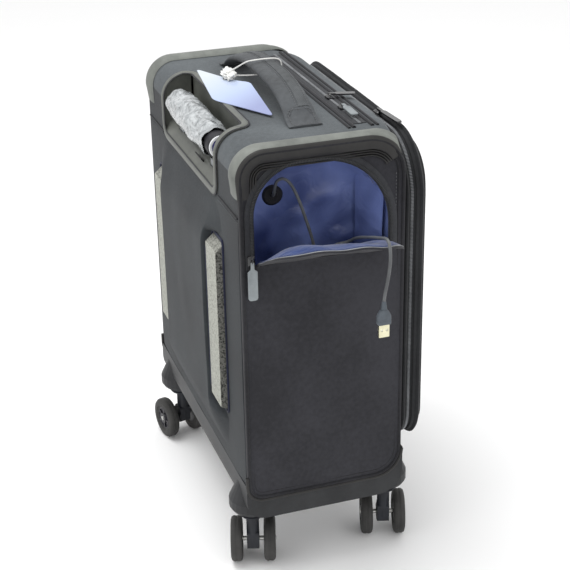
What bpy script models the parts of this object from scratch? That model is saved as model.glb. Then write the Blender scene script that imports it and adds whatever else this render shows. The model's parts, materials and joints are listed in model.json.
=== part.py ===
"""Cabin-size soft-sided spinner suitcase with an open cable pocket in one side.

Metres, +Z up, the wheels stand on Z = 0.  X runs across the case (the cable pocket is in the -X
side), Y runs from the front lid (-Y) to the back panel (+Y).  Every mesh is written in the frame of
the bare case, whose middle is X = Y = 0; the last step moves the whole case so that the middle of
its outer box stands on the origin.
"""
import math

import bmesh
import bpy
from mathutils import Matrix, Vector

# ---------------------------------------------------------------- driving dimensions, metres
WIDTH = 0.400
DEPTH = 0.195
HEIGHT = 0.550
FABRIC = 0.004
GAP = 0.0003

SEAM_Z = 0.115
BACK_TOP_R = 0.030
FRONT_TOP_R = 0.045
BACK_LOW_R = 0.020
FRONT_LOW_R = 0.035
TOP_PANEL_BACK_Z = 0.520

GUARD_BACK_LEG = 0.022
GUARD_FRONT_TURN_DEG = 60.0

LID_DEPTH = 0.025
LID_TOP_Z = 0.537
LID_BOTTOM_Z = 0.150
LID_TOP_R = 0.067
LID_LOW_R = 0.045
LID_WALL = 0.003
LID_EDGE_R = 0.006
FRONT_PANEL_DEPTH = 0.007
FRONT_PANEL_INSET = 0.012
FRAME_BORDER = 0.028
FRAME_DEPTH = 0.006
FRAME_SEAM = 0.0012
ZIP_GAP = 0.0012
LID_HINGE_OUT = 0.0045

ARCH_BACK_Y = 0.0840
ARCH_FRONT_Y = -0.0795
ARCH_LOW_Z = 0.418
ARCH_TOP_Z = 0.534
ARCH_BACK_R = 0.058
ARCH_FRONT_R = 0.085
FLAP_OPEN_DEG = 66.0
FLAP_THICK = 0.005
FLAP_GAP = 0.0012
FLAP_BACK_GAP = 0.0045
LINER_DEPTH = 0.048
LINER_WALL = 0.0018
LINER_MARGIN = 0.0015
LINER_LOW_Z = 0.200
PORT_Y = 0.043
PORT_Z = 0.479
PORT_R = 0.0125
PORT_BORE_R = 0.0055
PORT_THICK = 0.004

BEZEL_HALF = 0.120
BEZEL_FRONT_Y = 0.0553
BEZEL_LOW_Z = 0.4725
BEZEL_WALL = 0.004
BEZEL_PROUD = 0.0015
BEZEL_FLOOR_Z = 0.496
BEZEL_CORNER_R = 0.016
BEZEL_UNDER = 0.007
BEZEL_TUBE_MARGIN = 0.008
BEZEL_HOLE_CLEAR = 0.0006

TUBE_X = 0.070
TUBE_Y = 0.082
TUBE_WIDTH = 0.0240
TUBE_DEEP = 0.0170
TUBE_WALL = 0.0012
TUBE_CLEAR = 0.0006
TUBE_LOW_Z = 0.136
STAGE_STEP = 0.012
MID_RISE = 0.0045
TUBE_CORNER_R = 0.004
GRIP_HALF = 0.095
GRIP_Y = 0.086
GRIP_Z = 0.524
GRIP_RY = 0.0115
GRIP_RZ = 0.0100
BUTTON_HALF = 0.014
BUTTON_WIDTH = 0.009
BUTTON_HIGH = 0.004
BUTTON_TRAVEL = 0.002

PAD_HALF = 0.100
PAD_THICK = 0.0160
PAD_LOW_Z = 0.145
PAD_TOP_Z = 0.455
PAD_CORNER_R = 0.020
PAD_EDGE_R = 0.004
FOAM_THICK = 0.0125
FOAM_OUT = 0.041
FOAM_LOW_Z = 0.208
FOAM_TOP_Z = 0.425

CARRY_HALF = 0.118
CARRY_Y = -0.002
CARRY_WIDE = 0.034
CARRY_THICK = 0.0115
CARRY_RISE = 0.021
ANCHOR_LONG = 0.036
ANCHOR_WIDE = 0.042
ANCHOR_THICK = 0.003
ANCHOR_X = 0.1225

BASE_LOW_Z = 0.088
BASE_PROUD = 0.002
BASE_WALL = 0.011
BASE_FLOOR = 0.004
BASE_BACK_R = 0.024
BASE_FRONT_R = 0.030
BASE_HOLLOW_R = 0.015
CASTER_X = 0.166
CASTER_BACK_Y = 0.083
CASTER_FRONT_Y = -0.090
HOUSING_R = 0.028
HOUSING_LOW_Z = 0.0825
HOUSING_RISE = 0.012
SOCKET_TOP_Z = 0.112
STEM_R = 0.0078
STEM_CLEAR = 0.0006
WHEEL_R = 0.0285
WHEEL_WIDE = 0.0145
WHEEL_SPACING = 0.041
TRAIL = 0.012
AXLE_R = 0.003
AXLE_CLEAR = 0.0004
HUB_R = 0.0105
HUB_WIDE = 0.0150

SLIDER_LONG = 0.012
SLIDER_WIDE = 0.0085
SLIDER_HIGH = 0.0045
PULLER_THICK = 0.0018

CABLE_D = 0.0036
STRING_D = 0.0018
RELIEF_LONG = 0.0095
RELIEF_TOP_R = 0.0021
RELIEF_LOW_R = 0.0032
MOULD_LONG = 0.0175
PLUG_LONG = 0.0150
PLUG_WIDE = 0.0120
PLUG_DEEP = 0.0045
PLUG_WALL = 0.00035
PLUG_FLOOR = 0.0030

# caster swivels: name, X sign, Y, heading of the trailing wheels in degrees from +Y
CASTERS = (
    ("near_back", -1, CASTER_BACK_Y, -108.0),
    ("near_front", -1, CASTER_FRONT_Y, -108.0),
    ("far_back", 1, CASTER_BACK_Y, -78.0),
    ("far_front", 1, CASTER_FRONT_Y, -120.0),
)

# the cable from its port to the pocket's hinge line, chosen by hand; X is measured inwards
# from the outer face of the side with the pocket
POCKET_ROUTE = (
    (0.0512, 0.0430, 0.4790), (0.0460, 0.0430, 0.4800), (0.0400, 0.0435, 0.4890),
    (0.0360, 0.0420, 0.5000), (0.0330, 0.0350, 0.5035), (0.0310, 0.0270, 0.4960),
    (0.0290, 0.0190, 0.4780), (0.0280, 0.0120, 0.4560), (0.0270, 0.0050, 0.4320),
    (0.0260, 0.0010, 0.4120), (0.0245, -0.0010, 0.3960), (0.0215, -0.0035, 0.3850),
    (0.0170, -0.0065, 0.3825), (0.0125, -0.0090, 0.3880), (0.0100, -0.0100, 0.3980),
    (0.0088, -0.0100, 0.4090), (0.0080, -0.0115, 0.4195), (0.0075, -0.0165, 0.4260),
    (0.0075, -0.0222, 0.4268),
)
# from the hinge line over the open flap to its outer edge
FLAP_ROUTE = (
    (0.0075, -0.0230, 0.4268), (0.0068, -0.0275, 0.4276), (0.0035, -0.0315, 0.4300),
    (-0.0030, -0.0338, 0.4345), (-0.0110, -0.0345, 0.4390), (-0.0240, -0.0348, 0.4450),
    (-0.0420, -0.0350, 0.4520), (-0.0600, -0.0352, 0.4590), (-0.0770, -0.0352, 0.4650),
    (-0.0880, -0.0352, 0.4690), (-0.0950, -0.0352, 0.4710), (-0.1010, -0.0352, 0.4700),
    (-0.1050, -0.0350, 0.4660), (-0.1066, -0.0350, 0.4600), (-0.1068, -0.0350, 0.4545),
)
# the free end, hanging from the flap's edge to the plug
DROP_ROUTE = (
    (-0.1068, -0.0350, 0.4541), (-0.1068, -0.0348, 0.4470), (-0.1064, -0.0340, 0.4370),
    (-0.1060, -0.0320, 0.4240), (-0.1057, -0.0300, 0.4130), (-0.1056, -0.0290, 0.4045),
)
# the tag's elastic string: from the eyelet up over the carry handle, under it and back
STRING_ROUTE = (
    (0.0180, 0.0430, 0.5745), (0.0160, 0.0350, 0.5785), (0.0130, 0.0270, 0.5835),
    (0.0100, 0.0190, 0.5880), (0.0070, 0.0090, 0.5898), (0.0060, -0.0020, 0.5902),
    (0.0060, -0.0130, 0.5897), (0.0060, -0.0200, 0.5872), (0.0060, -0.0226, 0.5810),
    (0.0060, -0.0212, 0.5748), (0.0063, -0.0160, 0.5717), (0.0070, -0.0020, 0.5713),
    (0.0080, 0.0100, 0.5713), (0.0100, 0.0200, 0.5712), (0.0140, 0.0300, 0.5712),
    (0.0185, 0.0380, 0.5715),
)
# the tag's four corners on its lower face
TAG_CORNERS = (
    (-0.0140, 0.0700, 0.5530), (-0.0980, 0.0225, 0.5525), (-0.0160, 0.0245, 0.5660),
    (0.0600, 0.0690, 0.5700),
)
TAG_THICK = 0.0008

HALF_W = WIDTH / 2
HALF_D = DEPTH / 2
INNER_X = HALF_W - FABRIC - GAP
LID_BACK_Y = -HALF_D - ZIP_GAP
LID_FRONT_Y = LID_BACK_Y - LID_DEPTH


# ---------------------------------------------------------------- shape helpers
def clear_scene():
    for item in list(bpy.data.objects):
        bpy.data.objects.remove(item, do_unlink=True)


def linear(channel):
    return channel / 12.92 if channel <= 0.04045 else ((channel + 0.055) / 1.055) ** 2.4


def material(name, colour, roughness, metallic=0.0):
    found = bpy.data.materials.get(name)
    if found:
        return found
    made = bpy.data.materials.new(name)
    made.use_nodes = True
    shader = made.node_tree.nodes["Principled BSDF"]
    channels = [linear(int(colour[i:i + 2], 16) / 255) for i in (0, 2, 4)]
    shader.inputs["Base Color"].default_value = (*channels, 1.0)
    shader.inputs["Roughness"].default_value = roughness
    shader.inputs["Metallic"].default_value = metallic
    return made


def fillet_path(corners, closed=True, steps=5):
    """Points through (u, v, radius) corners; a zero radius leaves the corner sharp."""
    points = []
    count = len(corners)
    for i, (u, v, radius) in enumerate(corners):
        here = Vector((u, v))
        at_end = not closed and i in (0, count - 1)
        if at_end or radius <= 0.0:
            points.append(here)
            continue
        back = (Vector(corners[i - 1][:2]) - here).normalized()
        ahead = (Vector(corners[(i + 1) % count][:2]) - here).normalized()
        half = back.angle(ahead) / 2
        centre = here + (back + ahead).normalized() * (radius / math.sin(half))
        start = here + back * (radius / math.tan(half)) - centre
        finish = here + ahead * (radius / math.tan(half)) - centre
        sweep = math.atan2(start.x * finish.y - start.y * finish.x, start.dot(finish))
        for k in range(steps + 1):
            points.append(centre + Matrix.Rotation(sweep * k / steps, 2) @ start)
    return points


def box_outline(low_u, high_u, low_v, high_v, radius=0.0, steps=3):
    corners = ((low_u, low_v), (high_u, low_v), (high_u, high_v), (low_u, high_v))
    return fillet_path([(u, v, radius) for u, v in corners], steps=steps)


def circle(u, v, radius, sides=24):
    turn = 2 * math.pi / sides
    return [Vector((u + radius * math.cos(turn * k), v + radius * math.sin(turn * k)))
            for k in range(sides)]


def lift(outline, axis, level):
    """A flat outline as 3-D points: X takes (y, z), Y takes (x, z), Z takes (x, y)."""
    if axis == "X":
        return [Vector((level, p[0], p[1])) for p in outline]
    if axis == "Y":
        return [Vector((p[0], level, p[1])) for p in outline]
    return [Vector((p[0], p[1], level)) for p in outline]


def loft(rings, wrap=False):
    """Closed skin through equal rings, capped at both ends or joined end to end."""
    mesh = bmesh.new()
    rows = [[mesh.verts.new(p) for p in ring] for ring in rings]
    size = len(rows[0])
    links = list(zip(rows, rows[1:]))
    if wrap:
        links.append((rows[-1], rows[0]))
    else:
        mesh.faces.new(rows[0])
        mesh.faces.new(rows[-1])
    for one, two in links:
        for k in range(size):
            n = (k + 1) % size
            mesh.faces.new((one[k], one[n], two[n], two[k]))
    bmesh.ops.recalc_face_normals(mesh, faces=mesh.faces)
    return mesh


def prism(outline, axis, low, high):
    return loft([lift(outline, axis, low), lift(outline, axis, high)])


def sleeve(outer, inner, axis, low, high):
    return loft([lift(outer, axis, low), lift(outer, axis, high),
                 lift(inner, axis, high), lift(inner, axis, low)], wrap=True)


def tub(outer, inner, axis, rim, base, floor):
    """Open tray: closed at base, its mouth at rim, the inside reaching down to floor."""
    return loft([lift(outer, axis, base), lift(outer, axis, rim),
                 lift(inner, axis, rim), lift(inner, axis, floor)])


def turned_x(profile, sides):
    """Ring of revolution about X; profile is a closed list of (x, radius)."""
    rings = []
    for k in range(sides):
        turn = 2 * math.pi * k / sides
        rings.append([Vector((x, r * math.cos(turn), r * math.sin(turn))) for x, r in profile])
    return loft(rings, wrap=True)


def stack(u, v, levels, sides=24):
    """Upright round body from (z, radius) levels."""
    return loft([lift(circle(u, v, radius, sides), "Z", z) for z, radius in levels])


def smooth_route(route, spacing):
    """Even points along a smooth curve through the route's own points."""
    knots = [Vector(p) for p in route]
    ends = [knots[0] * 2 - knots[1]] + knots + [knots[-1] * 2 - knots[-2]]
    fine = []
    for a, b, c, d in zip(ends, ends[1:], ends[2:], ends[3:]):
        for k in range(12):
            t = k / 12
            fine.append(0.5 * (2 * b + (c - a) * t + (2 * a - 5 * b + 4 * c - d) * t ** 2
                               + (3 * b - a - 3 * c + d) * t ** 3))
    fine.append(knots[-1])
    lengths = [0.0]
    for a, b in zip(fine, fine[1:]):
        lengths.append(lengths[-1] + (b - a).length)
    count = max(2, round(lengths[-1] / spacing))
    even = []
    at = 0
    for k in range(count + 1):
        want = lengths[-1] * k / count
        while at < len(fine) - 2 and lengths[at + 1] < want:
            at += 1
        share = (want - lengths[at]) / (lengths[at + 1] - lengths[at])
        even.append(fine[at].lerp(fine[at + 1], min(1.0, share)))
    return even


# ---------------------------------------------------------------- object helpers
FRAME = {}


def pivot(name, place, turn=None):
    """Empty on a joint's axis; every piece that moves with the joint hangs from it."""
    empty = bpy.data.objects.new("axis_" + name, None)
    bpy.context.scene.collection.objects.link(empty)
    empty.location = place
    if turn:
        empty.rotation_euler = turn
    if "case" in FRAME:
        empty.parent = FRAME["case"]
    FRAME[name] = empty
    return empty


def hang(item, body):
    """Parent a piece to its body's empty and keep it where its mesh puts it in the case."""
    empty = FRAME[body]
    item.parent = empty
    if body != "case":
        item.matrix_parent_inverse = empty.matrix_basis.inverted()


def add(name, mesh, look, body="case", smooth=40.0):
    data = bpy.data.meshes.new(name)
    mesh.to_mesh(data)
    mesh.free()
    item = bpy.data.objects.new(name, data)
    bpy.context.scene.collection.objects.link(item)
    data.materials.append(look)
    data.shade_smooth()
    data.set_sharp_from_angle(angle=math.radians(smooth))
    hang(item, body)
    return item


def shape_with(item, mesh, operation):
    """Boolean with a hidden guide body that hangs from the same empty."""
    guide_data = bpy.data.meshes.new(item.name + "_guide")
    mesh.to_mesh(guide_data)
    mesh.free()
    guide = bpy.data.objects.new(item.name + "_guide", guide_data)
    bpy.context.scene.collection.objects.link(guide)
    guide.hide_render = True
    guide.display_type = "WIRE"
    guide.parent = item.parent
    guide.matrix_parent_inverse = item.matrix_parent_inverse.copy()
    boolean = item.modifiers.new(operation.title(), "BOOLEAN")
    boolean.operation = operation
    boolean.object = guide


def cut(item, mesh):
    shape_with(item, mesh, "DIFFERENCE")


def weld(item, mesh):
    shape_with(item, mesh, "UNION")


def soften(item, width, segments=2):
    bevel = item.modifiers.new("Bevel", "BEVEL")
    bevel.width = width
    bevel.segments = segments
    bevel.limit_method = "ANGLE"
    bevel.angle_limit = math.radians(40)


def rounded_end(tip, inside, radius):
    """Places and radius shares that close a cord in a dome at its tip."""
    along = (inside - tip).normalized() * radius
    return [(tip + along * (1 - math.cos(turn)), max(0.2, math.sin(turn)))
            for turn in (0.0, math.pi / 6, math.pi / 3, math.pi / 2)]


def cord(name, route, diameter, look, body):
    curve = bpy.data.curves.new(name, "CURVE")
    curve.dimensions = "3D"
    curve.bevel_depth = diameter / 2
    curve.bevel_resolution = 2
    curve.use_fill_caps = True
    points = smooth_route(route, diameter * 2.2)
    line = rounded_end(points[0], points[1], diameter / 2)
    line += [(point, 1.0) for point in points[1:-1]]
    line += rounded_end(points[-1], points[-2], diameter / 2)[::-1]
    spline = curve.splines.new("POLY")
    spline.points.add(len(line) - 1)
    for point, (place, share) in zip(spline.points, line):
        point.co = (*place, 1.0)
        point.radius = share
    item = bpy.data.objects.new(name, curve)
    bpy.context.scene.collection.objects.link(item)
    curve.materials.append(look)
    hang(item, body)
    return item


# ---------------------------------------------------------------- outlines shared by pieces
def side_corners():
    return [(HALF_D, SEAM_Z, BACK_LOW_R), (HALF_D, HEIGHT, BACK_TOP_R),
            (-HALF_D, HEIGHT, FRONT_TOP_R), (-HALF_D, SEAM_Z, FRONT_LOW_R)]


def arch_outline(margin=0.0, low=ARCH_LOW_Z, low_r=0.0):
    return fillet_path([(ARCH_BACK_Y + margin, low, low_r),
                        (ARCH_BACK_Y + margin, ARCH_TOP_Z + margin, ARCH_BACK_R + margin),
                        (ARCH_FRONT_Y - margin, ARCH_TOP_Z + margin, ARCH_FRONT_R + margin),
                        (ARCH_FRONT_Y - margin, low, low_r)], steps=7)


def lid_outline(inset=0.0):
    half = HALF_W - inset
    low = LID_BOTTOM_Z + inset
    top = LID_TOP_Z - inset
    return fillet_path([(-half, low, LID_LOW_R - inset), (half, low, LID_LOW_R - inset),
                        (half, top, LID_TOP_R - inset), (-half, top, LID_TOP_R - inset)], steps=7)


def frame_top_at(x):
    """Height of the front frame's outer edge at x, where it rounds over towards the sides."""
    centre = INNER_X - LID_TOP_R
    over = min(LID_TOP_R, max(0.0, abs(x) - centre))
    return LID_TOP_Z - LID_TOP_R + math.sqrt(LID_TOP_R ** 2 - over ** 2)


def front_radius(x):
    """Radius of the top's front edge at x, tight in the middle and full at the sides."""
    if abs(x) >= INNER_X:
        return FRONT_TOP_R
    return min(FRONT_TOP_R, HEIGHT - frame_top_at(x) - FRAME_SEAM)


# ---------------------------------------------------------------- case
def make_sides():
    fabric = material("side_fabric", "3d3c41", 0.85)
    outline = fillet_path(side_corners())
    near = add("side_panel_near", prism(outline, "X", -HALF_W, -HALF_W + FABRIC), fabric)
    cut(near, prism(arch_outline(), "X", -HALF_W - FABRIC, -HALF_W + 2 * FABRIC))
    add("side_panel_far", prism(outline, "X", HALF_W - FABRIC, HALF_W), fabric)


def make_back():
    fabric = material("back_fabric", "4f5356", 0.8)
    low = SEAM_Z + BACK_LOW_R + GAP
    outline = box_outline(-INNER_X, INNER_X, low, TOP_PANEL_BACK_Z - GAP)
    back = add("back_panel", prism(outline, "Y", HALF_D - FABRIC, HALF_D), fabric)
    notch = box_outline(-BEZEL_HALF - GAP, BEZEL_HALF + GAP, BEZEL_LOW_Z - 2 * GAP,
                        HEIGHT + BEZEL_CORNER_R, BEZEL_CORNER_R)
    cut(back, prism(notch, "Y", HALF_D - 2 * FABRIC, HALF_D + FABRIC))
    pad_outline = box_outline(-PAD_HALF, PAD_HALF, PAD_LOW_Z, PAD_TOP_Z, PAD_CORNER_R, 4)
    pad = add("back_pad", prism(pad_outline, "Y", HALF_D + GAP, HALF_D + PAD_THICK), fabric)
    soften(pad, PAD_EDGE_R)
    foam = material("eva_foam", "a3a49c", 0.95)
    for name, sign in (("foam_bar_near", -1), ("foam_bar_far", 1)):
        edges = sorted((sign * (PAD_HALF + GAP), sign * (PAD_HALF + FOAM_OUT)))
        outline = box_outline(edges[0], edges[1], FOAM_LOW_Z, FOAM_TOP_Z)
        add(name, prism(outline, "Y", HALF_D + GAP, HALF_D + FOAM_THICK), foam)


def top_section(x, inset):
    front_z = frame_top_at(x) + FRAME_SEAM
    radius = front_radius(x)
    return fillet_path([(HALF_D - inset, TOP_PANEL_BACK_Z, 0.0),
                        (HALF_D - inset, HEIGHT - inset, BACK_TOP_R - inset),
                        (-HALF_D + inset, HEIGHT - inset, radius - inset),
                        (-HALF_D + inset, front_z, 0.0)], closed=False)


def make_top():
    fabric = material("top_fabric", "63666a", 0.8)
    flat = INNER_X - LID_TOP_R
    stations = [flat + (INNER_X - flat) * math.sin(math.pi / 2 * k / 8) for k in range(9)]
    stations = [-x for x in reversed(stations)] + stations
    rings = [lift(top_section(x, 0.0) + top_section(x, FABRIC)[::-1], "X", x) for x in stations]
    top = add("top_panel", loft(rings), fabric)
    notch = box_outline(-BEZEL_HALF - GAP, BEZEL_HALF + GAP, BEZEL_FRONT_Y - GAP,
                        HALF_D + 2 * BEZEL_CORNER_R, BEZEL_CORNER_R)
    cut(top, prism(notch, "Z", TOP_PANEL_BACK_Z - 0.010, HEIGHT + 0.010))


def make_front_frame():
    plastic = material("front_frame", "35363a", 0.7)
    low = SEAM_Z + FRONT_LOW_R + GAP
    low_r = 0.004
    outer = fillet_path([(-INNER_X, low, low_r), (INNER_X, low, low_r),
                         (INNER_X, LID_TOP_Z, LID_TOP_R), (-INNER_X, LID_TOP_Z, LID_TOP_R)], steps=7)
    edge = INNER_X - FRAME_BORDER
    bottom = low + FRAME_BORDER
    top = LID_TOP_Z - FRAME_BORDER
    bottom_r = 0.020
    top_r = LID_TOP_R - FRAME_BORDER
    inner = fillet_path([(-edge, bottom, bottom_r), (edge, bottom, bottom_r),
                         (edge, top, top_r), (-edge, top, top_r)], steps=7)
    add("front_frame", sleeve(outer, inner, "Y", -HALF_D, -HALF_D + FRAME_DEPTH), plastic)


def guard_path(x):
    """Places and outward directions round the case's edge at x, from the back down to the front."""
    places = [(Vector((HALF_D, HEIGHT - BACK_TOP_R - GUARD_BACK_LEG)), Vector((1, 0)))]
    corners = ((HALF_D - BACK_TOP_R, BACK_TOP_R, 0, 90),
               (-HALF_D + front_radius(x), front_radius(x), 90, 90 + GUARD_FRONT_TURN_DEG))
    for centre_y, radius, first, last in corners:
        for k in range(8):
            turn = math.radians(first + (last - first) * k / 7)
            normal = Vector((math.cos(turn), math.sin(turn)))
            places.append((Vector((centre_y, HEIGHT - radius)) + normal * radius, normal))
    return places


def make_guards():
    rubber = material("guard_plastic", "7d7f7c", 0.55)
    # (distance in from the side face, distance out from the case's edge)
    section = ((0.028, 0.0012), (0.025, 0.0036), (0.015, 0.0058), (0.005, 0.0046),
               (-0.0006, 0.0012), (-0.0030, -0.0035), (-0.0034, -0.0090), (-0.0026, -0.0150),
               (-0.0014, -0.0215), (-GAP, -0.0220), (-GAP, 0.0012))
    for name, sign in (("corner_guard_near", -1), ("corner_guard_far", 1)):
        columns = []
        for inward, outward in section:
            x = HALF_W - inward
            column = [at + normal * outward for at, normal in guard_path(x)]
            columns.append([Vector((sign * x, *place)) for place in column])
        add(name, loft([list(ring) for ring in zip(*columns)]), rubber)


def make_base():
    plastic = material("base_plastic", "4a4b4c", 0.6)
    edge = HALF_D + BASE_PROUD
    side = HALF_W + BASE_PROUD
    seat = HALF_D + GAP
    back_top = SEAM_Z + BACK_LOW_R
    front_top = SEAM_Z + FRONT_LOW_R
    outer = fillet_path([(edge, back_top, 0.0), (edge, BASE_LOW_Z, BASE_BACK_R),
                         (-edge, BASE_LOW_Z, BASE_FRONT_R), (-edge, front_top, 0.0)], closed=False)
    inner = fillet_path([(seat, back_top, 0.0), (seat, SEAM_Z - GAP, BACK_LOW_R + GAP),
                         (-seat, SEAM_Z - GAP, FRONT_LOW_R + GAP), (-seat, front_top, 0.0)],
                        closed=False)
    base = add("base_tray", prism(outer + inner[::-1], "X", -side, side), plastic)
    hollow_x = HALF_W - BASE_WALL
    hollow_y = HALF_D - BASE_WALL
    hollow = box_outline(-hollow_x, hollow_x, -hollow_y, hollow_y, BASE_HOLLOW_R)
    cut(base, prism(hollow, "Z", BASE_LOW_Z + BASE_FLOOR, front_top))
    for _, sign, y, _ in CASTERS:
        levels = ((HOUSING_LOW_Z, 0.72 * HOUSING_R), (HOUSING_LOW_Z + 0.0020, 0.90 * HOUSING_R),
                  (HOUSING_LOW_Z + 0.0065, HOUSING_R), (SEAM_Z - 0.015, HOUSING_R),
                  (SEAM_Z, 0.75 * HOUSING_R), (SEAM_Z + HOUSING_RISE, 0.55 * HOUSING_R))
        weld(base, stack(sign * CASTER_X, y, levels))
    for _, sign, y, _ in CASTERS:
        bore = circle(sign * CASTER_X, y, STEM_R + STEM_CLEAR, 20)
        cut(base, prism(bore, "Z", HOUSING_LOW_Z - 0.010, SOCKET_TOP_Z))


# ---------------------------------------------------------------- cable pocket
def make_pocket():
    lining = material("pocket_lining", "3a4785", 0.35)
    open_x = -HALF_W + FABRIC + GAP
    floor_x = open_x + LINER_DEPTH
    low_r = 0.012
    outer = arch_outline(LINER_MARGIN + LINER_WALL, LINER_LOW_Z, low_r)
    inner = arch_outline(LINER_MARGIN, LINER_LOW_Z + LINER_WALL, low_r - LINER_WALL)
    liner = add("pocket_liner", tub(outer, inner, "X", open_x, floor_x + LINER_WALL, floor_x), lining)
    bore = circle(PORT_Y, PORT_Z, PORT_BORE_R, 16)
    cut(liner, prism(bore, "X", floor_x - 2 * LINER_WALL, floor_x + 3 * LINER_WALL))
    port = turned_x([(floor_x - GAP, PORT_BORE_R), (floor_x - PORT_THICK, PORT_BORE_R),
                     (floor_x - PORT_THICK, 0.8 * PORT_R), (floor_x - 0.5 * PORT_THICK, PORT_R),
                     (floor_x - GAP, PORT_R)], 20)
    bmesh.ops.translate(port, verts=port.verts, vec=(0, PORT_Y, PORT_Z))
    add("cable_port", port, material("port_rubber", "1c1b1d", 0.6))

    # the flap is drawn closed, in the arch, and hangs from a hinge that is turned open
    back = ARCH_BACK_Y - FLAP_BACK_GAP
    front = ARCH_FRONT_Y + FLAP_GAP
    low = ARCH_LOW_Z + 0.002
    top = ARCH_TOP_Z - FLAP_GAP
    shut = fillet_path([(back, low, 0.0), (back, top, ARCH_BACK_R - FLAP_BACK_GAP),
                        (front, top, ARCH_FRONT_R - FLAP_GAP), (front, low, 0.0)], steps=7)
    flap = prism(shut, "X", -HALF_W, -HALF_W + FLAP_THICK)
    hinge = Vector((-HALF_W, 0.0, ARCH_LOW_Z))
    swing = (Matrix.Translation(hinge) @ Matrix.Rotation(-math.radians(FLAP_OPEN_DEG), 4, "Y")
             @ Matrix.Translation(-hinge))
    flap.transform(swing)
    add("pocket_flap", flap, material("flap_fabric", "46464b", 0.8), "flap")


def from_side(route):
    """A cable route moved from the pocket side's outer face into the case's own frame."""
    return [Vector((x - HALF_W, y, z)) for x, y, z in route]


def make_cable():
    rubber = material("cable_rubber", "6b6d6e", 0.5)
    cord("cable_pocket", from_side(POCKET_ROUTE), CABLE_D, rubber, "case")
    cord("cable_flap", from_side(FLAP_ROUTE), CABLE_D, rubber, "flap")
    drop_route = from_side(DROP_ROUTE)
    cord("cable_drop", drop_route, CABLE_D, rubber, "cable_end")
    x, y, top = drop_route[-1]
    relief_low = top - RELIEF_LONG
    mould_low = relief_low - MOULD_LONG
    tip_low = mould_low - PLUG_LONG
    mould = material("plug_mould", "5f656b", 0.55)
    relief = stack(x, y, ((top - GAP, RELIEF_TOP_R), (relief_low, RELIEF_LOW_R)), 12)
    add("plug_relief", relief, mould, "cable_end")
    rings = []
    for drop, deep, wide in ((GAP, 0.0070, 0.0085), (0.005, 0.0080, 0.0140), (0.009, 0.0082, 0.0158),
                             (MOULD_LONG, 0.0080, 0.0155)):
        outline = box_outline(x - deep / 2, x + deep / 2, y - wide / 2, y + wide / 2, 0.0025)
        rings.append(lift(outline, "Z", relief_low - drop))
    add("plug_overmould", loft(rings), mould, "cable_end")
    deep = PLUG_DEEP / 2
    wide = PLUG_WIDE / 2
    outer = box_outline(x - deep, x + deep, y - wide, y + wide, 0.0006, 1)
    deep -= PLUG_WALL
    wide -= PLUG_WALL
    inner = box_outline(x - deep, x + deep, y - wide, y + wide, 0.0004, 1)
    shell = tub(outer, inner, "Z", tip_low, mould_low - GAP, mould_low - PLUG_FLOOR)
    add("plug_shell", shell, material("plug_metal", "d9d9b8", 0.3, 1.0), "cable_end")


# ---------------------------------------------------------------- telescopic handle
def tube_section(sign, shrink):
    """Outline of the outer tube on one side, made smaller by shrink all round."""
    half_x = TUBE_WIDTH / 2 - shrink
    half_y = TUBE_DEEP / 2 - shrink
    radius = max(0.001, TUBE_CORNER_R - shrink)
    middle = sign * TUBE_X
    return box_outline(middle - half_x, middle + half_x, TUBE_Y - half_y, TUBE_Y + half_y, radius, 2)


def make_bezel():
    plastic = material("bezel_plastic", "7a7b76", 0.5)
    top = HEIGHT + BEZEL_PROUD
    back = HALF_D + BEZEL_PROUD
    under = BEZEL_FLOOR_Z - BEZEL_UNDER
    envelope = fillet_path([(BEZEL_FRONT_Y, top, 0.0), (BEZEL_FRONT_Y, under, 0.0),
                            (TUBE_Y - BEZEL_TUBE_MARGIN, under, 0.0),
                            (HALF_D - FABRIC - 0.0015, BEZEL_LOW_Z, 0.0), (back, BEZEL_LOW_Z, 0.0),
                            (back, top, BACK_TOP_R + BEZEL_PROUD)], steps=6)
    bezel = add("handle_bezel", prism(envelope, "X", -BEZEL_HALF, BEZEL_HALF), plastic)
    scoop = fillet_path([(BEZEL_FRONT_Y + BEZEL_WALL, top + 0.030, 0.0),
                         (BEZEL_FRONT_Y + BEZEL_WALL, BEZEL_FLOOR_Z, 0.012),
                         (TUBE_Y + 0.004, BEZEL_FLOOR_Z, 0.020), (back + 0.010, BEZEL_LOW_Z - 0.0035, 0.0),
                         (back + 0.030, top + 0.030, 0.0)], steps=4)
    inside = BEZEL_HALF - BEZEL_WALL
    cut(bezel, prism(scoop, "X", -inside, inside))
    # round the two front corners and the two low back corners to suit the panels' notches
    keep_top = box_outline(-BEZEL_HALF, BEZEL_HALF, BEZEL_FRONT_Y, back + 0.040, BEZEL_CORNER_R)
    keep_back = box_outline(-BEZEL_HALF, BEZEL_HALF, BEZEL_LOW_Z, top + 0.040, BEZEL_CORNER_R)
    shape_with(bezel, prism(keep_top, "Z", BEZEL_LOW_Z - 0.010, top + 0.010), "INTERSECT")
    shape_with(bezel, prism(keep_back, "Y", BEZEL_FRONT_Y - 0.010, back + 0.010), "INTERSECT")
    for sign in (-1, 1):
        hole = tube_section(sign, TUBE_WALL + TUBE_CLEAR - BEZEL_HOLE_CLEAR)
        cut(bezel, prism(hole, "Z", BEZEL_LOW_Z - 0.020, BEZEL_FLOOR_Z + 0.020))


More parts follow.
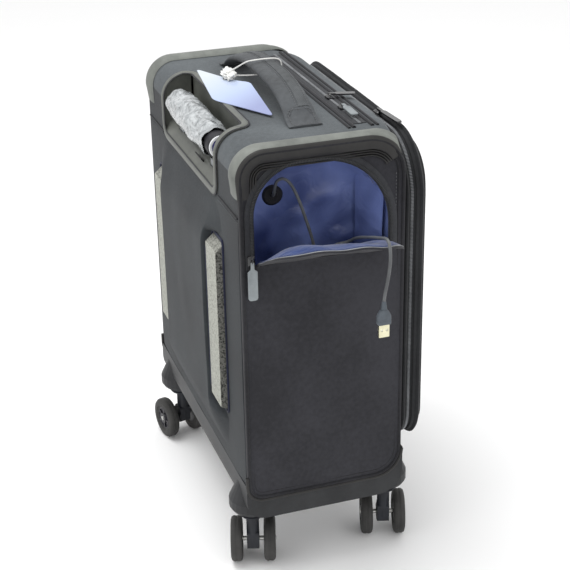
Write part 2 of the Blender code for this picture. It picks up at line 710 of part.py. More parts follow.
def make_tubes():
    dark = material("outer_tube", "2b2b2e", 0.5, 0.4)
    bright = material("handle_tube", "8d9094", 0.3, 1.0)
    tops = (BEZEL_LOW_Z - 0.001, BEZEL_FLOOR_Z + MID_RISE, GRIP_Z - GRIP_RZ - GAP)
    stages = (("outer_tube", "case", dark), ("mid_tube", "handle_mid", bright),
              ("inner_tube", "handle_grip", bright))
    for sign, side in ((-1, "near"), (1, "far")):
        for k, (name, body, look) in enumerate(stages):
            shrink = k * (TUBE_WALL + TUBE_CLEAR)
            mesh = sleeve(tube_section(sign, shrink), tube_section(sign, shrink + TUBE_WALL), "Z",
                          TUBE_LOW_Z + k * STAGE_STEP, tops[k])
            add(f"{name}_{side}", mesh, look, body)


def make_grip():
    plastic = material("grip_plastic", "26262a", 0.5)
    rings = []
    for share, scale in ((-1.0, 0.62), (-0.985, 0.84), (-0.95, 0.97), (-0.90, 1.0),
                         (0.90, 1.0), (0.95, 0.97), (0.985, 0.84), (1.0, 0.62)):
        ellipse = []
        for corner in circle(0.0, 0.0, scale, 20):
            ellipse.append(Vector((GRIP_Y + GRIP_RY * corner.x, GRIP_Z + GRIP_RZ * corner.y)))
        rings.append(lift(ellipse, "X", share * GRIP_HALF))
    grip = add("grip", loft(rings), plastic, "handle_grip")
    seat = GRIP_Z + GRIP_RZ - BUTTON_HIGH
    # flat feet on the grip where the two inner tubes end
    underside = GRIP_Z - GRIP_RZ
    for sign in (-1, 1):
        cut(grip, prism(tube_section(sign, -0.001), "Z", underside - 0.010, underside + 0.0008))
    half_wide = BUTTON_WIDTH / 2
    corner_r = 0.003
    pocket = box_outline(-BUTTON_HALF, BUTTON_HALF, GRIP_Y - half_wide, GRIP_Y + half_wide, corner_r)
    cut(grip, prism(pocket, "Z", seat - BUTTON_TRAVEL, GRIP_Z + GRIP_RZ + 0.010))
    side = 2 * GAP
    half = BUTTON_HALF - side
    half_wide -= side
    cap = box_outline(-half, half, GRIP_Y - half_wide, GRIP_Y + half_wide, corner_r - side)
    add("grip_button", prism(cap, "Z", seat + GAP, GRIP_Z + GRIP_RZ + 0.0005), plastic, "button")


# ---------------------------------------------------------------- carry handle and tag
def carry_rise(share):
    """Rise of the carry handle's underside at a share of its half length."""
    return CARRY_RISE * (1 - min(1.0, abs(share)) ** 2.6) ** 0.75


def make_carry_handle():
    fabric = material("handle_fabric", "55575a", 0.8)
    base = HEIGHT + ANCHOR_THICK + 2 * GAP
    rings = []
    count = 20
    for k in range(count + 1):
        share = -1 + 2 * k / count
        slope = math.copysign(math.radians(40), -share)
        if 0 < k < count:
            step = 0.02
            climb = carry_rise(share + step) - carry_rise(share - step)
            slope = math.atan2(climb, 2 * step * CARRY_HALF)
        thick = CARRY_THICK * (0.45 + 0.55 * (1 - share ** 4))
        wide = CARRY_WIDE * (1.0 + 0.12 * share ** 4)
        height = base + thick / 2 * math.cos(slope) + carry_rise(share)
        centre = Vector((share * CARRY_HALF, CARRY_Y, height))
        up = Vector((-math.sin(slope), 0.0, math.cos(slope)))
        outline = box_outline(-wide / 2, wide / 2, -thick / 2, thick / 2, 0.42 * thick, 2)
        rings.append([centre + Vector((0, p[0], 0)) + up * p[1] for p in outline])
    add("carry_handle", loft(rings), fabric)
    for name, sign in (("handle_anchor_near", -1), ("handle_anchor_far", 1)):
        outline = box_outline(sign * ANCHOR_X - ANCHOR_LONG / 2, sign * ANCHOR_X + ANCHOR_LONG / 2,
                              CARRY_Y - ANCHOR_WIDE / 2, CARRY_Y + ANCHOR_WIDE / 2, 0.008)
        add(name, prism(outline, "Z", HEIGHT + GAP, HEIGHT + ANCHOR_THICK), fabric)


def make_tag():
    corners = [Vector(p) for p in TAG_CORNERS]
    up = Vector((0, 0, TAG_THICK))
    add("hang_tag", loft([corners, [p + up for p in corners]]), material("tag_card", "d4d8dd", 0.25))
    cord("tag_string", STRING_ROUTE, STRING_D, material("tag_elastic", "eeeeec", 0.7), "case")


# ---------------------------------------------------------------- lid
def make_lid():
    fabric = material("lid_fabric", "47494c", 0.8)
    turn = 0.3 * LID_EDGE_R
    inside = LID_FRONT_Y + LID_WALL
    levels = ((LID_EDGE_R, LID_FRONT_Y), (turn, LID_FRONT_Y + turn), (0.0, LID_FRONT_Y + LID_EDGE_R),
              (0.0, LID_BACK_Y), (LID_WALL, LID_BACK_Y), (LID_WALL, inside + turn),
              (LID_EDGE_R, inside))
    add("lid_shell", loft([lift(lid_outline(inset), "Y", y) for inset, y in levels]), fabric, "lid")
    face = LID_FRONT_Y - GAP
    deep = FRONT_PANEL_DEPTH
    levels = ((0.0, 0.0), (0.0, 0.6 * deep), (0.0015, 0.85 * deep), (0.0050, deep))
    rings = [lift(lid_outline(FRONT_PANEL_INSET + inset), "Y", face - out) for inset, out in levels]
    add("lid_front_panel", loft(rings), fabric, "lid")


# ---------------------------------------------------------------- zip sliders and pullers
def slider_mesh(centre, along, up):
    """Slider body with the bridge that holds its puller."""
    along = Vector(along).normalized()
    up = Vector(up).normalized()
    across = up.cross(along)
    rings = []
    levels = ((0.0, 0.0008), (0.0008, 0.0), (0.55 * SLIDER_HIGH, 0.0), (SLIDER_HIGH, 0.0024))
    for level, shrink in levels:
        half_l = SLIDER_LONG / 2 - shrink
        half_w = SLIDER_WIDE / 2 - shrink
        outline = box_outline(-half_l, half_l, -half_w, half_w, 0.0016, 2)
        rings.append([Vector(centre) + along * p[0] + across * p[1] + up * level for p in outline])
    return loft(rings)


def puller_mesh(start, along, flat, length, width):
    """Flat puller plate from its pivot; flat is the direction of its thickness."""
    along = Vector(along).normalized()
    flat = Vector(flat).normalized()
    across = flat.cross(along)
    half_t = PULLER_THICK / 2
    stem = 0.0018
    rings = []
    for reach, half in ((0.0, stem), (0.20, 1.1 * stem), (0.26, width / 2), (0.94, width / 2),
                        (1.0, 0.38 * width)):
        spot = Vector(start) + along * reach * length
        signs = ((-1, -1), (1, -1), (1, 1), (-1, 1))
        rings.append([spot + across * a * half + flat * b * half_t for a, b in signs])
    return loft(rings)


MAIN_TRACK_Y = -0.0620
LID_TRACK_Y = LID_BACK_Y - 0.0110
POCKET_SLIDER_Z = ARCH_LOW_Z + 0.0085
SLIDERS = {
    "pocket": ((-HALF_W - 0.0010, ARCH_BACK_Y + 0.0020, POCKET_SLIDER_Z), (0, 0, 1), (-1, 0, 0)),
    "main_near": ((-0.0950, MAIN_TRACK_Y, HEIGHT + 0.0008), (1, 0, 0), (0, -0.08, 1)),
    "main_far": ((-0.0520, MAIN_TRACK_Y, HEIGHT + 0.0008), (1, 0, 0), (0, -0.08, 1)),
    "lid_zip": ((-0.0880, LID_TRACK_Y, LID_TOP_Z + 0.0006), (1, 0, 0), (0, 0, 1)),
}
# puller: direction from its pivot, thickness direction, length, width
PULLERS = {
    "pocket": ((0, 0, -1), (-1, 0, 0), 0.046, 0.0110),
    "main_near": ((-1, 0, -0.02), (0, 0, 1), 0.040, 0.0085),
    "main_far": ((-0.25, -1, -0.02), (0, 0, 1), 0.030, 0.0085),
    "lid_zip": ((-1, -0.06, 0), (0, 0, 1), 0.056, 0.0070),
}


def puller_pivot(key):
    centre, _, up = SLIDERS[key]
    return Vector(centre) + Vector(up).normalized() * (SLIDER_HIGH + PULLER_THICK / 2 + 2 * GAP)


def make_zips():
    metal = material("zip_metal", "3a3b3d", 0.35, 0.9)
    grey = material("puller_grey", "a8adb0", 0.45)
    for key, (centre, along, up) in SLIDERS.items():
        add(f"{key}_slider", slider_mesh(centre, along, up), metal, f"{key}_slider")
        direction, flat, length, width = PULLERS[key]
        mesh = puller_mesh(puller_pivot(key), direction, flat, length, width)
        add(f"{key}_puller", mesh, grey if key in ("pocket", "main_near") else metal, f"{key}_puller")


# ---------------------------------------------------------------- casters
def caster_frame(sign, y, heading):
    return Matrix.Translation((sign * CASTER_X, y, 0.0)) @ Matrix.Rotation(math.radians(heading), 4, "Z")


def wheel_profile():
    """(x, radius) outline of a wheel: a hollow hub face, a flat side and a rounded tread."""
    half = WHEEL_WIDE / 2
    bore = AXLE_R + AXLE_CLEAR
    side = ((half - 0.0040, WHEEL_R), (half - 0.0012, WHEEL_R - 0.0016), (half, WHEEL_R - 0.0050),
            (half, HUB_R + 0.0015), (half - 0.0015, HUB_R - 0.0005), (half - 0.0015, bore))
    return [(-x, radius) for x, radius in reversed(side)] + list(side)


def make_casters():
    dark = material("caster_nylon", "2b2d33", 0.45)
    rubber = material("wheel_rubber", "5a5a58", 0.75)
    steel = material("axle_steel", "b8b8b4", 0.3, 1.0)
    half = HUB_WIDE / 2
    reach = WHEEL_SPACING / 2 + WHEEL_WIDE / 2 - 0.0025
    neck_z = WHEEL_R + 0.020
    arm = fillet_path([(-STEM_R, neck_z, 0.003), (-STEM_R + 0.001, WHEEL_R - 0.004, 0.006),
                       (TRAIL, WHEEL_R - HUB_R, 0.004), (TRAIL + HUB_R, WHEEL_R, 0.004),
                       (STEM_R, neck_z, 0.003)], steps=3)
    for name, sign, y, heading in CASTERS:
        frame = caster_frame(sign, y, heading)
        stem = stack(0.0, 0.0, ((WHEEL_R + 0.004, STEM_R), (SOCKET_TOP_Z - 0.0015, STEM_R)), 16)
        stem.transform(frame)
        fork = add(f"fork_{name}", stem, dark, f"caster_{name}")
        for outline in (arm, circle(TRAIL, WHEEL_R, HUB_R, 20)):
            mesh = prism(outline, "X", -half, half)
            mesh.transform(frame)
            weld(fork, mesh)
        bore = prism(circle(TRAIL, WHEEL_R, AXLE_R + AXLE_CLEAR, 12), "X", -2 * half, 2 * half)
        bore.transform(frame)
        cut(fork, bore)
        axle = prism(circle(TRAIL, WHEEL_R, AXLE_R, 12), "X", -reach, reach)
        axle.transform(frame)
        add(f"axle_{name}", axle, steel, f"caster_{name}")
        for side, place in (("a", -WHEEL_SPACING / 2), ("b", WHEEL_SPACING / 2)):
            wheel = turned_x(wheel_profile(), 24)
            bmesh.ops.translate(wheel, verts=wheel.verts, vec=(place, TRAIL, WHEEL_R))
            wheel.transform(frame)
            add(f"wheel_{name}_{side}", wheel, rubber, f"wheel_{name}_{side}")


# ---------------------------------------------------------------- assembly
def make_pivots():
    pivot("case", (0, 0, 0))
    pivot("lid", (HALF_W + LID_HINGE_OUT, LID_BACK_Y, LID_BOTTOM_Z))
    pivot("flap", (-HALF_W, 0, ARCH_LOW_Z))
    pivot("cable_end", from_side(DROP_ROUTE)[0] - Vector((0, 0, CABLE_D / 2)))
    pivot("handle_mid", (0, TUBE_Y, BEZEL_FLOOR_Z))
    pivot("handle_grip", (0, TUBE_Y, GRIP_Z))
    pivot("button", (0, GRIP_Y, GRIP_Z + GRIP_RZ))
    for key, (centre, _, _) in SLIDERS.items():
        pivot(f"{key}_slider", centre)
        pivot(f"{key}_puller", puller_pivot(key))
    for name, sign, y, heading in CASTERS:
        frame = caster_frame(sign, y, heading)
        pivot(f"caster_{name}", frame.translation)
        for side, place in (("a", -WHEEL_SPACING / 2), ("b", WHEEL_SPACING / 2)):
            pivot(f"wheel_{name}_{side}", frame @ Vector((place, TRAIL, WHEEL_R)))


# pieces that hang loose and don't count in the case's own box
LOOSE = ("cable_pocket", "cable_flap", "cable_drop", "plug_", "tag_string")


def stand_on_origin():
    """Move the case so that the middle of its outer box, cables apart, stands on the origin."""
    bpy.context.view_layer.update()
    depsgraph = bpy.context.evaluated_depsgraph_get()
    corners = []
    for item in bpy.data.objects:
        loose = item.name.startswith(LOOSE)
        if item.type == "EMPTY" or item.hide_render or loose:
            continue
        seen = item.evaluated_get(depsgraph)
        data = seen.to_mesh()
        corners += [seen.matrix_world @ v.co for v in data.vertices]
        seen.to_mesh_clear()
    low = [min(p[k] for p in corners) for k in range(3)]
    high = [max(p[k] for p in corners) for k in range(3)]
    FRAME["case"].location = (-(low[0] + high[0]) / 2, -(low[1] + high[1]) / 2, -low[2])


def main():
    clear_scene()
    make_pivots()
    make_sides()
    make_back()
    make_top()
    make_front_frame()
    make_guards()
    make_base()
    make_pocket()
    make_cable()
    make_bezel()
    make_tubes()
    make_grip()
    make_carry_handle()
    make_tag()
    make_lid()
    make_zips()
    make_casters()
    stand_on_origin()


main()
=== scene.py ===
"""Looks of a cabin spinner suitcase: cloth, zips, pocket lining, cable, handle and casters.

Shapes are written in the case's own frame, whose middle is x = y = 0, and make() moves them to the
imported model's frame by CENTRE.  -X is the side with the cable pocket, +Y the back, +Z up.
"""

import json
import math

import bmesh
import bpy
from mathutils import Matrix, Vector, noise


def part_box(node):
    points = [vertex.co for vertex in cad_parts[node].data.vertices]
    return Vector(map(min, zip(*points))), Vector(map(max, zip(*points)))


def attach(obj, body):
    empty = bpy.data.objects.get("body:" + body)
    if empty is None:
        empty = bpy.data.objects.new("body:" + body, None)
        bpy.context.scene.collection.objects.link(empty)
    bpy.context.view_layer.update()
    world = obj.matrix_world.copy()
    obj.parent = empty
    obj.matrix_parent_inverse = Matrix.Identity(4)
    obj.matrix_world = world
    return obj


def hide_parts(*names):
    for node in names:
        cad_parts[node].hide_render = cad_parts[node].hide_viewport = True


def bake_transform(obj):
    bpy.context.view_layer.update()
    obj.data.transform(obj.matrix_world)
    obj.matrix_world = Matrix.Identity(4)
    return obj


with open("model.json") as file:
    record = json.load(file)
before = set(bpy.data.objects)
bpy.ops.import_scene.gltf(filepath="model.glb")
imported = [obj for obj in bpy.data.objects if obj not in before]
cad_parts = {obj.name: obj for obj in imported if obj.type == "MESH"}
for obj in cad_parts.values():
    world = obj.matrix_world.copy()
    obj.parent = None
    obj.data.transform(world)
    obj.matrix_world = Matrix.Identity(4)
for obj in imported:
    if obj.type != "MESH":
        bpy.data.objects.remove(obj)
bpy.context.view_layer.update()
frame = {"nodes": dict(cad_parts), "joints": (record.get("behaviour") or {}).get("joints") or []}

# ---------------------------------------------------------------- sizes read from the frame, metres
NEAR_LOW, NEAR_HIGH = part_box("side_panel_near")
FAR_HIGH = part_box("side_panel_far")[1]
CENTRE = Vector(((NEAR_LOW.x + FAR_HIGH.x) / 2, (NEAR_LOW.y + NEAR_HIGH.y) / 2, 0.0))
HALF_W = (FAR_HIGH.x - NEAR_LOW.x) / 2
HALF_D = (NEAR_HIGH.y - NEAR_LOW.y) / 2
FABRIC = NEAR_HIGH.x - NEAR_LOW.x
TOP_Z = NEAR_HIGH.z
SEAM_Z = NEAR_LOW.z


def case_box(node):
    low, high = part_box(node)
    return low - CENTRE, high - CENTRE


LID_LOW, LID_HIGH = case_box("lid_shell")
PAD_HIGH = case_box("back_pad")[1]
BEZEL_LOW, BEZEL_HIGH = case_box("handle_bezel")
GRIP_LOW, GRIP_HIGH = case_box("grip")
LINER_LOW, LINER_HIGH = case_box("pocket_liner")
PORT_LOW, PORT_HIGH = case_box("cable_port")
PANEL_LOW, PANEL_HIGH = case_box("lid_front_panel")
GUARD_LOW = case_box("corner_guard_near")[0]

BACK_TOP_R = 0.030
FRONT_TOP_R = 0.045
BACK_LOW_R = 0.020
FRONT_LOW_R = 0.035
TOP_BACK_Z = 0.520
LID_TOP_R = 0.067
LID_LOW_R = 0.045
ARCH_BACK_Y = 0.0840
ARCH_FRONT_Y = -0.0795
ARCH_LOW_Z = 0.418
ARCH_TOP_Z = 0.534
ARCH_BACK_R = 0.058
ARCH_FRONT_R = 0.085
ARCH_STEPS = 14
FLAP_OPEN = math.radians(66.0)
FLAP_LOW_Z = 0.4200
FLAP_TOP_Z = 0.5308
FLAP_BACK_Y = 0.0790
FLAP_FRONT_Y = -0.0768
FLAP_TALL = 0.113
GUARD_BACK_LEG = 0.022
GUARD_FRONT_TURN = 60.0
GUARD_TAPER = 0.38
RECESS_R = 0.016
COIL_TURN = 0.0017
STITCH_STEP = 0.0042
HANDLE_STITCH_STEP = 0.0038
FOAM_CRUMB = 0.0016
FILM_R = 0.0150
FILM_WALL = 0.0003
CABLE_D = 0.0036
STRING_D = 0.0018
INNER_X = HALF_W - FABRIC - 0.0003

POCKET_ROUTE = (
    (-0.1488, 0.0430, 0.4790), (-0.1540, 0.0430, 0.4800), (-0.1600, 0.0435, 0.4890),
    (-0.1640, 0.0420, 0.5000), (-0.1670, 0.0350, 0.5035), (-0.1690, 0.0270, 0.4960),
    (-0.1710, 0.0190, 0.4780), (-0.1720, 0.0120, 0.4560), (-0.1730, 0.0050, 0.4320),
    (-0.1740, 0.0010, 0.4120), (-0.1755, -0.0010, 0.3960), (-0.1785, -0.0035, 0.3850),
    (-0.1830, -0.0065, 0.3825), (-0.1875, -0.0090, 0.3880), (-0.1900, -0.0100, 0.3980),
    (-0.1912, -0.0100, 0.4090), (-0.1920, -0.0115, 0.4195), (-0.1925, -0.0165, 0.4260),
    (-0.1925, -0.0230, 0.4268), (-0.1932, -0.0275, 0.4276), (-0.1965, -0.0315, 0.4300),
    (-0.2030, -0.0338, 0.4345), (-0.2110, -0.0345, 0.4390), (-0.2240, -0.0348, 0.4450),
)
FLAP_ROUTE = (
    (-0.2240, -0.0348, 0.4450), (-0.2420, -0.0350, 0.4520), (-0.2600, -0.0352, 0.4590),
    (-0.2770, -0.0352, 0.4650), (-0.2880, -0.0352, 0.4690), (-0.2950, -0.0352, 0.4710),
    (-0.3010, -0.0352, 0.4700), (-0.3050, -0.0350, 0.4660), (-0.3066, -0.0350, 0.4600),
    (-0.3068, -0.0350, 0.4545), (-0.3068, -0.0348, 0.4470), (-0.3064, -0.0340, 0.4370),
    (-0.3060, -0.0320, 0.4240), (-0.3057, -0.0300, 0.4130), (-0.3056, -0.0290, 0.4045),
)
STRING_ROUTE = (
    (0.0180, 0.0430, 0.5745), (0.0160, 0.0350, 0.5785), (0.0130, 0.0270, 0.5835),
    (0.0100, 0.0190, 0.5880), (0.0070, 0.0090, 0.5898), (0.0060, -0.0020, 0.5902),
    (0.0060, -0.0130, 0.5897), (0.0060, -0.0200, 0.5872), (0.0060, -0.0226, 0.5810),
    (0.0060, -0.0212, 0.5748), (0.0063, -0.0160, 0.5717), (0.0070, -0.0020, 0.5713),
    (0.0080, 0.0100, 0.5713), (0.0100, 0.0200, 0.5712), (0.0140, 0.0300, 0.5712),
    (0.0185, 0.0380, 0.5715),
)
TAG_CORNERS = (
    (-0.0140, 0.0700, 0.5530), (-0.0980, 0.0225, 0.5525), (-0.0160, 0.0245, 0.5660),
    (0.0600, 0.0690, 0.5700),
)


# ---------------------------------------------------------------- camera, lights and floor
def make_camera():
    """Near three-quarter view of the pocket side and the back, from above."""
    place = CENTRE + Vector((-1.552, 0.495, 1.051))
    turn = math.radians(-18.35)
    drop = math.radians(24.89)
    roll = math.radians(-1.09)
    ahead = Vector((math.cos(drop) * math.cos(turn), math.cos(drop) * math.sin(turn), -math.sin(drop)))
    right = ahead.cross(Vector((0, 0, 1))).normalized()
    up = right.cross(ahead)
    right, up = (right * math.cos(roll) + up * math.sin(roll),
                 up * math.cos(roll) - right * math.sin(roll))
    data = bpy.data.cameras.new("camera")
    data.sensor_width = 36.0
    data.lens = 88.8
    camera = bpy.data.objects.new("camera", data)
    bpy.context.scene.collection.objects.link(camera)
    basis = Matrix((right, up, -ahead)).transposed().to_4x4()
    camera.matrix_world = Matrix.Translation(place) @ basis
    bpy.context.scene.camera = camera


def make_light(name, place, aim, size, power):
    data = bpy.data.lights.new(name, "AREA")
    data.shape = "DISK"
    data.size = size
    data.energy = power
    lamp = bpy.data.objects.new(name, data)
    bpy.context.scene.collection.objects.link(lamp)
    lamp.location = place
    lamp.rotation_euler = (Vector(aim) - Vector(place)).to_track_quat("-Z", "Y").to_euler()


def make_studio():
    scene = bpy.context.scene
    scene.view_settings.view_transform = "Standard"
    world = bpy.data.worlds.new("studio")
    world.use_nodes = True
    background = world.node_tree.nodes["Background"]
    background.inputs["Color"].default_value = (1.0, 1.0, 1.0, 1.0)
    background.inputs["Strength"].default_value = 0.95
    scene.world = world
    middle = (0.0, 0.0, 0.35)
    make_light("top_light", (0.1, 0.5, 2.4), middle, 1.6, 34.0)
    make_light("back_light", (-0.9, 2.2, 1.2), middle, 1.2, 5.0)
    make_light("front_light", (-2.2, -0.9, 1.3), middle, 1.2, 5.0)
    floor = bpy.data.meshes.new("floor")
    size = 6.0
    floor.from_pydata([(-size, -size, 0), (size, -size, 0), (size, size, 0), (-size, size, 0)],
                      [], [(0, 1, 2, 3)])
    stage = bpy.data.objects.new("floor", floor)
    scene.collection.objects.link(stage)
    paper = bpy.data.materials.new("pale_paper")
    paper.use_nodes = True
    shader = paper.node_tree.nodes["Principled BSDF"]
    shader.inputs["Base Color"].default_value = (0.92, 0.92, 0.92, 1.0)
    shader.inputs["Roughness"].default_value = 0.9
    floor.materials.append(paper)


# ---------------------------------------------------------------- materials
def colour(text):
    """An sRGB hex colour as linear red, green, blue and alpha."""
    channels = []
    for i in (0, 2, 4):
        value = int(text[i:i + 2], 16) / 255
        channels.append(value / 12.92 if value <= 0.04045 else ((value + 0.055) / 1.055) ** 2.4)
    return (*channels, 1.0)


def node(tree, kind, values=None, links=None, **settings):
    """Adds one node with its settings, its own values and the sockets that feed it."""
    made = tree.nodes.new(kind)
    for name, value in settings.items():
        setattr(made, name, value)
    for key, value in (values or {}).items():
        made.inputs[key].default_value = value
    for key, source in (links or {}).items():
        tree.links.new(source, made.inputs[key])
    return made


def begin(name, roughness, **sockets):
    """A new material's node tree and its Principled shader with constant sockets set."""
    made = bpy.data.materials.new(name)
    made.use_nodes = True
    shader = made.node_tree.nodes["Principled BSDF"]
    shader.inputs["Roughness"].default_value = roughness
    for key, value in sockets.items():
        shader.inputs[key.replace("_", " ")].default_value = value
    return made, made.node_tree, shader


def ramp(tree, source, stops):
    made = node(tree, "ShaderNodeValToRGB", links={"Fac": source})
    band = made.color_ramp
    while len(band.elements) < len(stops):
        band.elements.new(0.5)
    for element, (at, shade) in zip(band.elements, stops):
        element.position = at
        element.color = colour(shade)
    return made.outputs["Color"]


def woven(name, dark, light, thread=0.0016, roughness=0.82, sheen=0.06, relief=0.0003):
    """Polyester pack cloth in plain weave: matt, with a heathered fleck from thread to thread.

    The real thread is about 0.6 mm, too fine to show, so the pack cloths are drawn 2.5 to 3 times as
    coarse.
    """
    made, tree, shader = begin(name, roughness, Sheen_Weight=sheen, Sheen_Roughness=0.5,
                               Specular_IOR_Level=0.25)
    coords = node(tree, "ShaderNodeTexCoord")
    place = coords.outputs["Object"]
    turns = node(tree, "ShaderNodeVectorMath", {1: (2 * math.pi / thread,) * 3}, {0: place},
                 operation="MULTIPLY")
    waves = node(tree, "ShaderNodeVectorMath", links={0: turns.outputs[0]}, operation="SINE")
    split = node(tree, "ShaderNodeSeparateXYZ", links={0: waves.outputs[0]})
    crossed = node(tree, "ShaderNodeCombineXYZ")
    for k, (a, b) in enumerate(((1, 2), (0, 2), (0, 1))):
        pair = node(tree, "ShaderNodeMath", links={0: split.outputs[a], 1: split.outputs[b]},
                    operation="MULTIPLY")
        tree.links.new(pair.outputs[0], crossed.inputs[k])
    facing = node(tree, "ShaderNodeVectorMath",
                  links={0: coords.outputs["Normal"], 1: coords.outputs["Normal"]}, operation="MULTIPLY")
    weave = node(tree, "ShaderNodeVectorMath", links={0: crossed.outputs[0], 1: facing.outputs[0]},
                 operation="DOT_PRODUCT")
    fleck = node(tree, "ShaderNodeTexNoise", {"Scale": 0.35 / thread, "Detail": 2.0}, {"Vector": place})
    cloud = node(tree, "ShaderNodeTexNoise", {"Scale": 9.0, "Detail": 3.0}, {"Vector": place})
    height = node(tree, "ShaderNodeMath", {1: 0.30}, {0: weave.outputs["Value"], 2: fleck.outputs[0]},
                  operation="MULTIPLY_ADD")
    mixed = node(tree, "ShaderNodeMath", {1: 0.45}, {0: height.outputs[0], 2: cloud.outputs[0]},
                 operation="MULTIPLY_ADD")
    tree.links.new(ramp(tree, mixed.outputs[0], ((0.52, dark), (0.92, light))), shader.inputs["Base Color"])
    bump = node(tree, "ShaderNodeBump", {"Strength": 0.7, "Distance": relief},
                {"Height": height.outputs[0]})
    tree.links.new(bump.outputs[0], shader.inputs["Normal"])
    return made


def satin(name, dark, light):
    """Dyed nylon lining: shiny along its folds, with soft small creases, and random pale and dark patches
    painted in as highlight and shade.
    """
    made, tree, shader = begin(name, 0.32, Sheen_Weight=0.3, Sheen_Roughness=0.3)
    place = node(tree, "ShaderNodeTexCoord").outputs["Object"]
    creases = node(tree, "ShaderNodeTexNoise", {"Scale": 38.0, "Detail": 4.0, "Distortion": 0.8},
                   {"Vector": place})
    cloud = node(tree, "ShaderNodeTexNoise", {"Scale": 12.0, "Detail": 2.0}, {"Vector": place})
    # random patches between the dark and the pale blue: painted highlights and painted shade standing in for
    # shine and shadow in the folds
    tree.links.new(ramp(tree, cloud.outputs[0], ((0.35, dark), (0.65, light))), shader.inputs["Base Color"])
    rough = node(tree, "ShaderNodeMapRange", {"To Min": 0.28, "To Max": 0.5}, {"Value": creases.outputs[0]})
    tree.links.new(rough.outputs[0], shader.inputs["Roughness"])
    bump = node(tree, "ShaderNodeBump", {"Strength": 0.8, "Distance": 0.0030},
                {"Height": creases.outputs[0]})
    tree.links.new(bump.outputs[0], shader.inputs["Normal"])
    return made


def moulded(name, dark, light, roughness, grain=0.0009, relief=0.00012, metallic=0.0, **sockets):
    """Moulded or coated surface: fine grain, cloudy handling marks and uneven gloss."""
    made, tree, shader = begin(name, roughness, Metallic=metallic, Specular_IOR_Level=0.35, **sockets)
    place = node(tree, "ShaderNodeTexCoord").outputs["Object"]
    fine = node(tree, "ShaderNodeTexNoise", {"Scale": 1.0 / grain, "Detail": 2.0}, {"Vector": place})
    marks = node(tree, "ShaderNodeTexNoise", {"Scale": 28.0, "Detail": 6.0, "Roughness": 0.65},
                 {"Vector": place})
    tree.links.new(ramp(tree, marks.outputs[0], ((0.35, dark), (0.68, light))), shader.inputs["Base Color"])
    rough = node(tree, "ShaderNodeMapRange", {"To Min": roughness - 0.10, "To Max": roughness + 0.12},
                 {"Value": marks.outputs[0]})
    tree.links.new(rough.outputs[0], shader.inputs["Roughness"])
    bump = node(tree, "ShaderNodeBump", {"Strength": 0.6, "Distance": relief}, {"Height": fine.outputs[0]})
    tree.links.new(bump.outputs[0], shader.inputs["Normal"])
    return made


def brushed(name, dark, light, roughness, along):
    """Drawn and anodised metal: fine streaks along its length."""
    made, tree, shader = begin(name, roughness, Metallic=1.0)
    place = node(tree, "ShaderNodeTexCoord").outputs["Object"]
    stretch = node(tree, "ShaderNodeMapping", {"Scale": along}, {"Vector": place})
    streaks = node(tree, "ShaderNodeTexNoise", {"Scale": 1400.0, "Detail": 2.0},
                   {"Vector": stretch.outputs[0]})
    tree.links.new(ramp(tree, streaks.outputs[0], ((0.35, dark), (0.65, light))), shader.inputs["Base Color"])
    bump = node(tree, "ShaderNodeBump", {"Strength": 0.3, "Distance": 0.00005},
                {"Height": streaks.outputs[0]})
    tree.links.new(bump.outputs[0], shader.inputs["Normal"])
    return made


def speckled_foam(name, dark, light):
    """Regrind EVA foam: pale fine-grained skin on its back face, dark coarse crumbs on its cut faces."""
    made, tree, shader = begin(name, 0.95, Specular_IOR_Level=0.2)
    coords = node(tree, "ShaderNodeTexCoord")
    place = coords.outputs["Object"]
    crumbs = node(tree, "ShaderNodeTexVoronoi", {"Scale": 1.0 / FOAM_CRUMB}, {"Vector": place})
    shade = node(tree, "ShaderNodeSeparateColor", links={0: crumbs.outputs["Color"]})
    coarse = ramp(tree, shade.outputs[0], ((0.10, "2f2f2d"), (0.62, "6f6f6a")))
    skin = ramp(tree, shade.outputs[0], ((0.10, dark), (0.62, light)))
    way = node(tree, "ShaderNodeSeparateXYZ", links={0: coords.outputs["Normal"]})
    face = node(tree, "ShaderNodeMapRange", {"From Min": 0.55, "From Max": 0.8}, {"Value": way.outputs["Y"]})
    mixed = node(tree, "ShaderNodeMix", links={0: face.outputs[0], 6: coarse, 7: skin}, data_type="RGBA")
    tree.links.new(mixed.outputs[2], shader.inputs["Base Color"])
    pits = node(tree, "ShaderNodeTexNoise", {"Scale": 700.0, "Detail": 3.0}, {"Vector": place})
    bump = node(tree, "ShaderNodeBump", {"Strength": 0.9, "Distance": 0.0006}, {"Height": pits.outputs[0]})
    tree.links.new(bump.outputs[0], shader.inputs["Normal"])
    return made


def glossy_card(name):
    """Varnished card with a soft blue-grey fade across it, a painted reflection of a bright gradient, without
    any words.
    """
    made, tree, shader = begin(name, 0.18, Coat_Weight=0.6, Coat_Roughness=0.08)
    place = node(tree, "ShaderNodeTexCoord").outputs["Object"]
    across = node(tree, "ShaderNodeSeparateXYZ", links={0: place})
    # the blue-grey fade along x: painted reflection of a bright gradient
    fade = node(tree, "ShaderNodeMapRange", {"From Min": -0.02, "From Max": 0.085},
                {"Value": across.outputs["X"]})
    tree.links.new(ramp(tree, fade.outputs[0], ((0.0, "868eb4"), (0.45, "a3b1cf"), (1.0, "bcc3ca"))),
                   shader.inputs["Base Color"])
    ripple = node(tree, "ShaderNodeTexNoise", {"Scale": 40.0, "Detail": 1.0}, {"Vector": place})
    bump = node(tree, "ShaderNodeBump", {"Strength": 0.15, "Distance": 0.001}, {"Height": ripple.outputs[0]})
    tree.links.new(bump.outputs[0], shader.inputs["Normal"])
    return made


